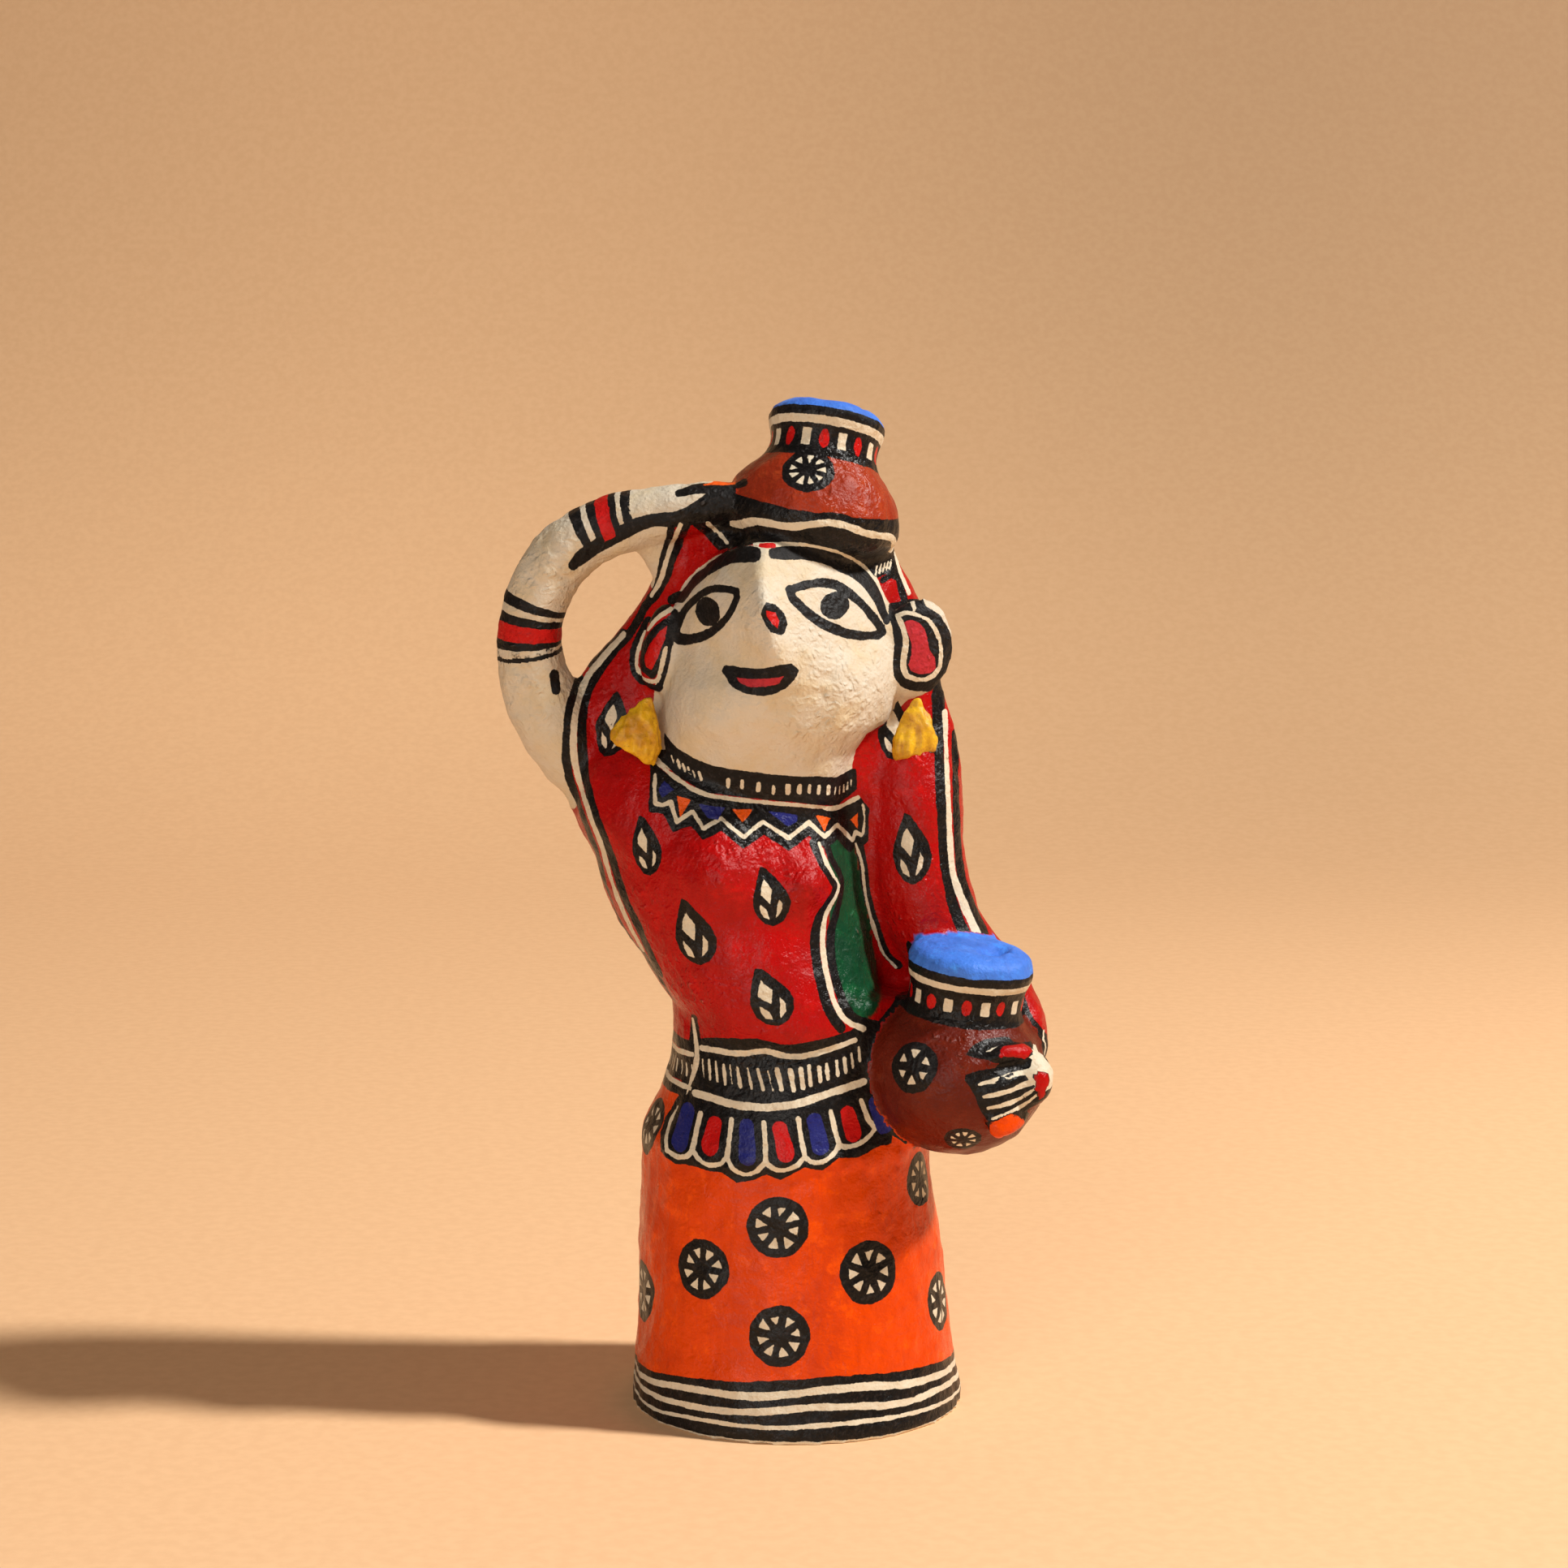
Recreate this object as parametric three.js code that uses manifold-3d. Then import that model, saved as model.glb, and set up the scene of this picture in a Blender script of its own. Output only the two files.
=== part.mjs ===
// Papier-mache water carrier: a woman in a long skirt and veil, with one pot on the head, steadied by a
// raised arm, and one pot held on the hip. Two moulded drop earrings hang under the ears.
// Millimetres, +Z up. The figure faces -Y, its raised arm is on the -X side, and the origin is at the
// centre of the base, on the surface that it stands on.

import * as THREE from 'three';
import { LoftGeometry } from 'three/addons/geometries/LoftGeometry.js';
import { mergeVertices } from 'three/addons/utils/BufferGeometryUtils.js';
import Module from 'manifold-3d';

const wasm = await Module();
wasm.setup();

// ---- Driving dimensions -------------------------------------------------------------------------

const baseWidth = 73;
const baseDepth = 74.8;

// Heights of the body's levels above the surface.
const level = {
	rimTop: 4,
	hip: 60,
	waist: 78,
	bodice: 84,
	bust: 121,
	neck: 140,
	jaw: 152,
	eye: 175,
	brow: 184,
	crown: 192,
};

// The apron's flap: its upper and lower edges, how deep it is rooted in the skirt, and its hem's petals.
const apronShape = { top: 73, hem: 60, thickness: 1.4, topThickness: 0.2, root: -4 };
const petalShape = { count: 8, degrees: 14, drop: 2.4, steps: 5 };

const pieceGap = 0.3;

// Head pot: the centre of its belly, its lean to the side and back, in degrees.
const headPot = { x: 3, y: -1, z: 193.3, leanSide: 9.3, leanBack: 6 };

// Hip pot: the centre of its belly, its lean to the side and front, in degrees.
const hipPot = { x: 34.2, y: -14, z: 76.6, leanSide: 7, leanBack: -4 };

// ---- Solids from geometries ---------------------------------------------------------------------

// The closed solid of a geometry, with shared vertices merged and collapsed triangles left out.
function solidOf(geometry) {
	const bare = new THREE.BufferGeometry().copy(geometry);
	bare.deleteAttribute('normal');
	bare.deleteAttribute('uv');
	const merged = mergeVertices(bare, 1e-3);
	const corners = merged.index.array;
	const kept = [];
	for (let i = 0; i < corners.length; i += 3) {
		const [a, b, c] = [corners[i], corners[i + 1], corners[i + 2]];
		if (a !== b && b !== c && c !== a) {
			kept.push(a, b, c);
		}
	}
	const mesh = new wasm.Mesh({
		numProp: 3,
		vertProperties: new Float32Array(merged.attributes.position.array),
		triVerts: new Uint32Array(kept),
	});
	return new wasm.Manifold(mesh);
}

function join(solids) {
	return solids.reduce((whole, solid) => whole.add(solid));
}

function meshOf(name, solid, material) {
	const { vertProperties, triVerts } = solid.getMesh();
	const geometry = new THREE.BufferGeometry();
	geometry.setAttribute('position', new THREE.Float32BufferAttribute(vertProperties, 3));
	geometry.setIndex(Array.from(triVerts));
	geometry.computeVertexNormals();
	const mesh = new THREE.Mesh(geometry, material);
	mesh.name = name;
	return mesh;
}

// ---- Lofts through named stations ---------------------------------------------------------------

// Slope of a field at one station, flat at a turning point so that the curve never overshoots.
function slopeAt(stations, field, i) {
	if (i === 0 || i === stations.length - 1) {
		return 0;
	}
	const before = (stations[i][field] - stations[i - 1][field]) / (stations[i].z - stations[i - 1].z);
	const after = (stations[i + 1][field] - stations[i][field]) / (stations[i + 1].z - stations[i].z);
	return before * after <= 0 ? 0 : (2 * before * after) / (before + after);
}

// Value of one field of the stations at height z.
function fieldAt(stations, field, z) {
	const last = stations.length - 2;
	const found = stations.findIndex((station, i) => i > 0 && z <= station.z) - 1;
	const i = found < 0 ? last : found;
	const span = stations[i + 1].z - stations[i].z;
	const t = (z - stations[i].z) / span;
	const rise = stations[i + 1][field] - stations[i][field];
	const start = slopeAt(stations, field, i) * span;
	const end = slopeAt(stations, field, i + 1) * span;
	return stations[i][field] + start * t + (3 * rise - 2 * start - end) * t * t
		+ (start + end - 2 * rise) * t * t * t;
}

// One closed outline at height z: an ellipse-like ring between the left, right, front and back limits.
// flank is the y of its widest line, and power 2 is a true ellipse, less is more pointed at the sides.
function ringAt(stations, z, count, warp) {
	const value = (field) => fieldAt(stations, field, z);
	const middle = (value('left') + value('right')) / 2;
	const halfWidth = (value('right') - value('left')) / 2;
	const exponent = 2 / value('power');
	const points = [];
	for (let i = 0; i < count; i++) {
		const angle = (2 * Math.PI * i) / count;
		const across = Math.sign(Math.cos(angle)) * Math.abs(Math.cos(angle)) ** exponent;
		const along = Math.sign(Math.sin(angle)) * Math.abs(Math.sin(angle)) ** exponent;
		const depth = along < 0 ? value('flank') - value('front') : value('back') - value('flank');
		const point = new THREE.Vector3(middle + halfWidth * across, value('flank') + depth * along, z);
		points.push(warp ? warp(point, across, z) : point);
	}
	return points;
}

// A body through the stations, with a ring at each of rows equal steps of height.
function loftBody(stations, count, rows, warp) {
	const bottom = stations[0].z;
	const top = stations[stations.length - 1].z;
	const sections = [];
	for (let row = 0; row <= rows; row++) {
		sections.push(ringAt(stations, bottom + ((top - bottom) * row) / rows, count, warp));
	}
	return solidOf(new LoftGeometry(sections, { capStart: true, capEnd: true }));
}

// A limb along a smooth curve through its joints, each with a place and a radius, and rounded ends.
function limb(joints, count, rows, flatten = 1) {
	const curve = new THREE.CatmullRomCurve3(joints.map(({ at }) => new THREE.Vector3(...at)));
	const frames = curve.computeFrenetFrames(rows);
	const sections = [];
	for (let row = 0; row <= rows; row++) {
		const t = row / rows;
		const centre = curve.getPointAt(t);
		const place = curve.getUtoTmapping(t) * (joints.length - 1);
		const i = Math.min(Math.floor(place), joints.length - 2);
		const radius = THREE.MathUtils.lerp(joints[i].radius, joints[i + 1].radius, place - i);
		const tipward = Math.min(1, 2.2 * Math.sqrt(Math.min(t, 1 - t)) + 0.35);
		const ring = [];
		for (let j = 0; j < count; j++) {
			const angle = (2 * Math.PI * j) / count;
			const normal = frames.normals[row].clone().multiplyScalar(Math.cos(angle));
			const binormal = frames.binormals[row].clone().multiplyScalar(Math.sin(angle));
			const offset = normal.add(binormal).multiplyScalar(radius * tipward);
			offset.y *= flatten;
			ring.push(centre.clone().add(offset));
		}
		sections.push(ring);
	}
	return solidOf(new LoftGeometry(sections, { capStart: true, capEnd: true }));
}

// A ball stretched to three half-sizes, turned about x, y and z in degrees, and moved to its place.
function lump(at, halfSizes, turn = [0, 0, 0], columns = 14, rows = 8) {
	const geometry = new THREE.SphereGeometry(1, columns, rows);
	geometry.scale(...halfSizes);
	const angles = turn.map((degrees) => THREE.MathUtils.degToRad(degrees));
	geometry.applyMatrix4(new THREE.Matrix4().makeRotationFromEuler(new THREE.Euler(...angles)));
	geometry.translate(...at);
	return solidOf(geometry);
}

// ---- Skirt, apron and bodice --------------------------------------------------------------------

// The skirt stands on a slightly flared rim and steps in above the hip to the waist.
const skirtStations = [
	{ z: 0, left: -baseWidth / 2, right: baseWidth / 2, front: -baseDepth / 2, back: baseDepth / 2 },
	{ z: level.rimTop, left: -36, right: 36, front: -36.8, back: 36.8 },
	{ z: 14, left: -35.4, right: 34.3, front: -34.8, back: 34.8 },
	{ z: 32, left: -34.8, right: 32.2, front: -32.8, back: 32.8 },
	{ z: 50, left: -34.1, right: 29.6, front: -31, back: 31 },
	{ z: level.hip, left: -33.9, right: 29, front: -30, back: 30 },
	{ z: 71, left: -28.9, right: 28, front: -27, back: 27 },
	{ z: level.waist, left: -27.4, right: 27.2, front: -25.2, back: 25 },
	{ z: 92, left: -27, right: 26, front: -23.5, back: 23.5 },
].map((station) => ({ flank: 0, power: 2.1, ...station }));

function skirt() {
	return loftBody(skirtStations, 36, 12);
}

// Point on the skirt at an angle from straight ahead, positive to the right, outside it by proud.
function skirtPoint(angle, z, proud) {
	const left = fieldAt(skirtStations, 'left', z);
	const right = fieldAt(skirtStations, 'right', z);
	const x = (left + right) / 2 + ((right - left) / 2 + proud) * Math.sin(angle);
	const y = (fieldAt(skirtStations, 'front', z) - proud) * Math.cos(angle);
	return new THREE.Vector3(x, y, z);
}

// The apron below the belt: a thin flap with a row of rounded petals along its hem.
function apron() {
	const sections = [];
	for (let i = 0; i <= petalShape.count * petalShape.steps; i++) {
		const petals = i / petalShape.steps;
		const angle = THREE.MathUtils.degToRad(petalShape.degrees * (petals - petalShape.count / 2));
		const hem = apronShape.hem - petalShape.drop * Math.abs(Math.sin(Math.PI * petals));
		sections.push([
			skirtPoint(angle, hem, apronShape.thickness),
			skirtPoint(angle, hem + 1, apronShape.root),
			skirtPoint(angle, apronShape.top, apronShape.root),
			skirtPoint(angle, apronShape.top, apronShape.topThickness),
		]);
	}
	return solidOf(new LoftGeometry(sections, { capStart: true, capEnd: true }));
}

// The bodice: its lower edge overhangs the belt, its left side runs out into the veil's edge, and its
// right side stops short beside the hip arm.
const bodiceStations = [
	{ z: level.bodice, left: -22.6, right: 20, front: -26.8, back: 20, flank: 0 },
	{ z: 88, left: -25.6, right: 20, front: -27.8, back: 20, flank: 0 },
	{ z: 93, left: -29.6, right: 18.6, front: -27.6, back: 20, flank: 0.4 },
	{ z: 100, left: -34, right: 17, front: -26.8, back: 20, flank: 1 },
	{ z: 112, left: -41, right: 14.6, front: -25, back: 20, flank: 2 },
	{ z: level.bust, left: -44, right: 13.6, front: -23, back: 20, flank: 2 },
	{ z: 131, left: -48, right: 13.4, front: -20.4, back: 19, flank: 1 },
	{ z: level.neck, left: -48, right: 12, front: -16.4, back: 18, flank: 2 },
	{ z: 150, left: -42, right: 8, front: -7.6, back: 14, flank: 3 },
].map((station) => ({ power: 2, ...station }));

// The two breasts: place across, height, how far they stand out, and how broad they are.
const breasts = [
	{ x: -16.5, z: 121.6, proud: 5.8, spread: 5.6 },
	{ x: 3.4, z: 118.4, proud: 7, spread: 4.6 },
];

// Swells the front of a bodice ring over each breast.
function swell(point, across, z) {
	const front = point.y < 0 ? 1 : 0;
	const rise = breasts.reduce((sum, { x, z: height, proud, spread }) => {
		const distance = Math.hypot(point.x - x, z - height);
		return sum + proud * Math.exp(-((distance / spread) ** 2) / 2);
	}, 0);
	return new THREE.Vector3(point.x, point.y - front * rise, point.z);
}

function bodice() {
	return loftBody(bodiceStations, 44, 19, swell);
}

// ---- Veil ---------------------------------------------------------------------------------------

// The veil is a broad hood and cape behind the head and body, with narrow rounded side edges.
const veilStations = [
	{ z: 70, left: -27, right: 27.6, front: 6, back: 29.6, flank: 10, power: 2.1 },
	{ z: 88, left: -27, right: 33, front: 0, back: 27.4, flank: 8 },
	{ z: 99, left: -34.6, right: 35, front: -3, back: 26.8, flank: 5 },
	{ z: 110, left: -41.2, right: 36, front: -6, back: 26, flank: 3 },
	{ z: level.bust, left: -44.2, right: 36.4, front: -8, back: 25.4, flank: 2 },
	{ z: 134, left: -50.6, right: 36.2, front: -9, back: 25, flank: 2 },
	{ z: 145, left: -51.6, right: 35.2, front: -9, back: 24.6, flank: 3 },
	{ z: 156, left: -49.4, right: 32, front: -8, back: 24, flank: 4 },
	{ z: 164, left: -43.6, right: 30, front: -7, back: 23.4, flank: 5 },
	{ z: 173, left: -34.8, right: 27.4, front: -8, back: 22.6, flank: 5 },
	{ z: level.brow, left: -29, right: 22, front: -10, back: 20.6, flank: 4 },
	{ z: 191, left: -25.2, right: 18.6, front: -10, back: 17.4, flank: 3 },
	{ z: 197, left: -16, right: 12, front: -7, back: 11, flank: 2 },
].map((station) => ({ power: 1.8, ...station }));

function veil() {
	return loftBody(veilStations, 36, 18);
}

// ---- Head ---------------------------------------------------------------------------------------

// The head leans into a broad neck, and its front is folded along the ridge of the nose.
const headStations = [
	{ z: 134, left: -31, right: 11, front: -17.6, back: 14, ridgeX: -6, nose: 0, fold: 0 },
	{ z: level.neck, left: -31.4, right: 11.4, front: -19.6, back: 14, ridgeX: -6, nose: 0, fold: 0 },
	{ z: 146, left: -30.8, right: 13.6, front: -22.6, back: 14, ridgeX: -6, nose: 0, fold: 0 },
	{ z: level.jaw, left: -29.8, right: 20, front: -25.8, back: 14, ridgeX: -6, nose: 0, fold: 0 },
	{ z: 159, left: -29, right: 21.4, front: -27.8, back: 14, ridgeX: -5, nose: 0, fold: 0.06 },
	{ z: 164, left: -28, right: 21.6, front: -28.4, back: 14, ridgeX: -3.4, nose: 0.8, fold: 0.24 },
	{ z: 169, left: -27.4, right: 21.2, front: -28.8, back: 14, ridgeX: -5, nose: 3, fold: 0.42 },
	{ z: level.eye, left: -26.4, right: 20.2, front: -28.4, back: 14, ridgeX: -6.4, nose: 3, fold: 0.45 },
	{ z: level.brow, left: -20.4, right: 14.8, front: -25.4, back: 12, ridgeX: -7.4, nose: 1.6, fold: 0.36 },
	{ z: 189, left: -14, right: 9.6, front: -21.6, back: 10, ridgeX: -7, nose: 0.5, fold: 0.2 },
	{ z: level.crown, left: -9, right: 5, front: -16, back: 6, ridgeX: -4, nose: 0, fold: 0 },
].map((station) => ({ flank: -2, power: 2.1, ...station }));

// Bends the front of a head ring to two flat cheeks that meet in the nose's ridge.
function foldFace(point, across, z) {
	const flank = fieldAt(headStations, 'flank', z);
	if (point.y >= flank) {
		return point;
	}
	const middle = (fieldAt(headStations, 'left', z) + fieldAt(headStations, 'right', z)) / 2;
	const shift = (fieldAt(headStations, 'ridgeX', z) - middle) * (1 - across * across);
	const depth = flank - fieldAt(headStations, 'front', z);
	const flat = flank - depth * (1 - Math.abs(across));
	const folded = THREE.MathUtils.lerp(point.y, flat, fieldAt(headStations, 'fold', z));
	const nose = fieldAt(headStations, 'nose', z) * Math.exp(-((across / 0.16) ** 2));
	return new THREE.Vector3(point.x + shift, folded - nose, point.z);
}

function head() {
	const earRight = lump([25.6, -5, 166.2], [8.3, 3.4, 11.2], [0, 8, 18]);
	const earLeft = lump([-29.2, -7, 167], [4.8, 3.6, 10], [0, 12, -38]);
	return join([loftBody(headStations, 40, 20, foldFace), earRight, earLeft]);
}

// ---- Arms ---------------------------------------------------------------------------------------

// The raised arm bows out from the shoulder and comes back to the side of the head pot.
function raisedArm() {
	const arm = limb([
		{ at: [-37, 5, 132], radius: 7.5 },
		{ at: [-47.6, 4, 143], radius: 9 },
		{ at: [-54.2, 2, 153], radius: 8.4 },
		{ at: [-57.7, 0, 167.5], radius: 7 },
		{ at: [-54.6, -1, 180], radius: 7 },
		{ at: [-46, -2, 189.4], radius: 6.8 },
		{ at: [-36, -3, 193.3], radius: 6.6 },
		{ at: [-26, -5, 195.8], radius: 6 },
		{ at: [-15, -7, 197.8], radius: 4.4 },
		{ at: [-5, -7, 198.4], radius: 3.6 },
	], 14, 22);
	const fillet = limb([
		{ at: [-37, -2, 193], radius: 4 },
		{ at: [-30, 0, 189], radius: 5 },
		{ at: [-24, 3, 180], radius: 5.5 },
	], 10, 6);
	return join([arm, fillet]);
}

// The other arm hangs under the veil to the elbow, and its forearm turns forward round the hip pot.
function hipArm() {
	const sleeve = limb([
		{ at: [20, 5, 152], radius: 8 },
		{ at: [24.6, 1, 139], radius: 10.4 },
		{ at: [26, -0.6, 120], radius: 10.6 },
		{ at: [31, -1.4, 104], radius: 10.2 },
		{ at: [41.6, -2, 92.4], radius: 8.6 },
		{ at: [47.6, -6, 82.6], radius: 7.4 },
		{ at: [48.2, -14, 76.4], radius: 6.4 },
	], 16, 15);
	const palm = lump([48.4, -24, 76.4], [5.2, 7.6, 7.2], [0, 20, 30], 12, 7);
	const fingers = [0, 1, 2, 3].map((i) => limb([
		{ at: [48.8, -25, 78.4 - 3.1 * i], radius: 2 },
		{ at: [44.5, -30.6, 77.4 - 3.1 * i], radius: 1.9 },
		{ at: [38.6 + 0.5 * i, -33.4, 75 - 2.8 * i], radius: 1.5 },
	], 8, 5));
	const thumb = limb([
		{ at: [50, -24, 81.4], radius: 2.6 },
		{ at: [45.5, -29, 83.6], radius: 2.1 },
		{ at: [40, -31.6, 82.8], radius: 1.4 },
	], 8, 5);
	return join([sleeve, palm, thumb, ...fingers]);
}

// ---- Pots ---------------------------------------------------------------------------------------

// A solid of revolution about z through a few profile points, each a radius and a height. Above the
// belly its plane rises towards the front by riseFront for each millimetre of depth.
function turned(profile, columns, riseFront) {
	const points = profile.map(([radius, height]) => new THREE.Vector2(radius, height));
	const geometry = new THREE.LatheGeometry(points, columns);
	geometry.rotateX(Math.PI / 2);
	const place = geometry.attributes.position;
	for (let i = 0; i < place.count; i++) {
		const share = THREE.MathUtils.smoothstep(place.getZ(i), 4, 20);
		place.setZ(i, place.getZ(i) - riseFront * share * place.getY(i));
	}
	return solidOf(geometry);
}

// A round belly between two radii, as profile points on the arc of an ellipse.
function bellyArc(radius, below, above, from, to, steps) {
	const arc = [];
	for (let i = 0; i <= steps; i++) {
		const angle = THREE.MathUtils.degToRad(THREE.MathUtils.lerp(from, to, i / steps));
		arc.push([radius * Math.cos(angle), (angle < 0 ? below : above) * Math.sin(angle)]);
	}
	return arc;
}

function placePot(solid, pot) {
	return solid.rotate([-pot.leanBack, pot.leanSide, 0]).translate([pot.x, pot.y, pot.z]);
}

// The pot on the head: a low belly on a flat foot, a short neck and a mouth pasted shut.
function headPotSolid() {
	const profile = [
		[0, -10],
		[12, -10],
		...bellyArc(19.4, 8.6, 15.5, -50, 42, 8),
		[12.6, 12.2],
		[11.8, 14.6],
		[11.8, 17.2],
		[12.8, 20.2],
		[12.5, 22.2],
		[10.4, 23.8],
		[6, 24.7],
		[0, 24.7],
	];
	const dent = lump([4, -3, 28.4], [3, 7, 4.4], [0, 0, 30], 10, 6);
	return placePot(turned(profile, 28, 0.2).subtract(dent), headPot);
}

// The pot on the hip: a rounder belly, a wider neck and a mouth pasted shut with a pressed-in fold.
function hipPotSolid() {
	const profile = [
		[0, -17.8],
		[7, -17.2],
		...bellyArc(19.7, 18, 16.6, -62, 46, 9),
		[12.8, 13.2],
		[12.2, 15.4],
		[12.4, 19],
		[13.4, 21.6],
		[13.5, 23.8],
		[12.6, 26.4],
		[8.4, 28],
		[0, 28],
	];
	const dent = lump([4.6, -2.4, 30.6], [3.6, 7, 5], [0, 0, -34], 10, 6);
	return placePot(turned(profile, 28, 0).subtract(dent), hipPot);
}

// ---- Earrings -----------------------------------------------------------------------------------

// A crumpled drop: narrow at the top, spreading to a rounded, uneven lower edge.
function drop(top, bottom, width, thickness, skew) {
	const rows = 8;
	const count = 14;
	const upper = new THREE.Vector3(...top);
	const lower = new THREE.Vector3(...bottom);
	const sections = [];
	for (let row = 0; row <= rows; row++) {
		const t = row / rows;
		const centre = lower.clone().lerp(upper, t);
		const spread = Math.sin(Math.PI * Math.min(1, 0.16 + 0.84 * t) ** 0.62) + 0.16;
		const ring = [];
		for (let j = 0; j < count; j++) {
			const angle = (2 * Math.PI * j) / count;
			const crease = 1 + 0.07 * Math.cos(3 * angle + 2 * t) + 0.05 * Math.cos(5 * angle - 4 * t);
			const across = width * spread * crease * Math.cos(angle);
			const tilt = skew * (1 - t) * Math.cos(angle);
			const depth = thickness * spread * crease * Math.sin(angle);
			ring.push(centre.clone().add(new THREE.Vector3(across, depth, tilt)));
		}
		sections.push(ring);
	}
	return solidOf(new LoftGeometry(sections, { capStart: true, capEnd: true }));
}

// Cuts away what would meet the figure, and a little more, so that the pieces keep a small gap.
function clearOf(piece, figure) {
	return piece.subtract(figure.translate([0, -pieceGap, 0]));
}

// ---- Assembly -----------------------------------------------------------------------------------

const figureSolid = join([
	skirt(),
	apron(),
	bodice(),
	veil(),
	head(),
	raisedArm(),
	hipArm(),
	headPotSolid(),
	hipPotSolid(),
]);

const earringLeft = drop([-31.4, -14.6, 157], [-35.4, -14.6, 145.4], 4.4, 2.6, -3);
const earringRight = drop([25.4, -11.6, 156.6], [24.6, -12, 144.4], 4.2, 2.6, 1);

const paper = new THREE.MeshStandardMaterial({ color: 0xc41d14, roughness: 0.45, metalness: 0 });
const yellow = new THREE.MeshStandardMaterial({ color: 0xc99410, roughness: 0.4, metalness: 0 });

const group = new THREE.Group();
group.add(meshOf('figure', figureSolid, paper));
group.add(meshOf('earring_left', clearOf(earringLeft, figureSolid), yellow));
group.add(meshOf('earring_right', clearOf(earringRight, figureSolid), yellow));

export default group;
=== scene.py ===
import math

import bmesh
import bpy
import numpy as np
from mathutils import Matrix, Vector, noise
from mathutils.bvhtree import BVHTree


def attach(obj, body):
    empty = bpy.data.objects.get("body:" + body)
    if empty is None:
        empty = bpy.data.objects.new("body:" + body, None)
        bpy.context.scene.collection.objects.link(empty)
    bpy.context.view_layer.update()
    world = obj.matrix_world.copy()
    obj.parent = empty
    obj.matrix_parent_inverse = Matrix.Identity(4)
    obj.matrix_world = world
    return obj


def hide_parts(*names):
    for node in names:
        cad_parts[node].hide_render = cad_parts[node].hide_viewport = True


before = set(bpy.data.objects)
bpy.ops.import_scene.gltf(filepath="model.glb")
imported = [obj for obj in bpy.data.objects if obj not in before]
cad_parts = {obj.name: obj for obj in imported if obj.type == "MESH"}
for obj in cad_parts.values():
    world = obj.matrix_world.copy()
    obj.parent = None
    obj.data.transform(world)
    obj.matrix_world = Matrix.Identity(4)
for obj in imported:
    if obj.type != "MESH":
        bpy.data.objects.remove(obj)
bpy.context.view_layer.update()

print("frame loaded")

# Everything about the figure is worked out in millimetres and turned to metres when it goes into a mesh.
mm = 0.001


# ---- camera and light ----

viewSettings = {"place": (-2.8, -850.0, 265.0), "pitch": 81.394, "lens": 91.24}

cameraData = bpy.data.cameras.new("camera")
cameraData.lens = viewSettings["lens"]
cameraData.sensor_width = 36.0
cameraData.clip_end = 20.0
camera = bpy.data.objects.new("camera", cameraData)
camera.location = Vector(viewSettings["place"]) * mm
camera.rotation_euler = (math.radians(viewSettings["pitch"]), 0.0, 0.0)
bpy.context.scene.collection.objects.link(camera)
bpy.context.scene.camera = camera

lightSettings = {
    "key": {"place": (1350, -195, 1635), "aim": (0, 0, 80), "size": 190, "power": 52.0,
            "colour": (1.0, 0.975, 0.93)},
    "fill": {"place": (-420, -1250, 420), "aim": (0, 0, 110), "size": 800, "power": 7.0,
             "colour": (1.0, 0.955, 0.89)},
}


def areaLight(name, place, aim, size, power, colour):
    data = bpy.data.lights.new(name, "AREA")
    data.shape = "DISK"
    data.size = size * mm
    data.energy = power
    data.color = colour
    lamp = bpy.data.objects.new(name, data)
    lamp.location = Vector(place) * mm
    lamp.rotation_euler = (Vector(aim) - Vector(place)).to_track_quat("-Z", "Y").to_euler()
    bpy.context.scene.collection.objects.link(lamp)


for lightName, light in lightSettings.items():
    areaLight(lightName, **light)

world = bpy.data.worlds.new("room")
world.use_nodes = True
world.node_tree.nodes["Background"].inputs["Color"].default_value = (1.0, 0.93, 0.85, 1.0)
world.node_tree.nodes["Background"].inputs["Strength"].default_value = 0.07
bpy.context.scene.world = world
bpy.context.scene.view_settings.view_transform = "Standard"
print("camera and lights set")


# ---- colours and small helpers ----

def linear(red, green, blue):
    def channel(value):
        value = value / 255.0
        return value / 12.92 if value <= 0.04045 else ((value + 0.055) / 1.055) ** 2.4
    return (channel(red), channel(green), channel(blue), 1.0)


paintBox = {
    "cream": linear(214, 203, 184),
    "chalk": linear(222, 210, 186),
    "black": linear(20, 18, 18),
    "red": linear(178, 10, 10),
    "orange": linear(226, 70, 0),
    "green": linear(16, 70, 42),
    "brown": linear(158, 52, 25),
    "hipBrown": linear(106, 31, 15),
    "sky": linear(70, 128, 232),
    "navy": linear(36, 40, 112),
    "scarlet": linear(196, 20, 18),
    "rose": linear(188, 46, 56),
    "tangerine": linear(236, 92, 22),
}


def newPiece(name, mesh):
    piece = bpy.data.objects.new(name, mesh)
    bpy.context.scene.collection.objects.link(piece)
    return piece


def nodeCopy(nodeName, name, voxel, rounds):
    # The node's own mesh stays as it is: a merged copy is wrapped in small even faces and softened.
    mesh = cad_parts[nodeName].data.copy()
    mesh.materials.clear()
    work = bmesh.new()
    work.from_mesh(mesh)
    bmesh.ops.remove_doubles(work, verts=work.verts, dist=1e-6)
    work.to_mesh(mesh)
    work.free()
    piece = newPiece(name, mesh)
    wrap = piece.modifiers.new("wrap", "REMESH")
    wrap.mode = "VOXEL"
    wrap.voxel_size = voxel * mm
    soften = piece.modifiers.new("soften", "SMOOTH")
    soften.factor = 0.5
    soften.iterations = rounds
    settle(piece)
    return piece


def settle(piece):
    graph = bpy.context.evaluated_depsgraph_get()
    baked = bpy.data.meshes.new_from_object(piece.evaluated_get(graph))
    piece.modifiers.clear()
    piece.data = baked


def places(mesh):
    points = np.empty(len(mesh.vertices) * 3)
    mesh.vertices.foreach_get("co", points)
    return points.reshape(-1, 3) / mm


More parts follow.
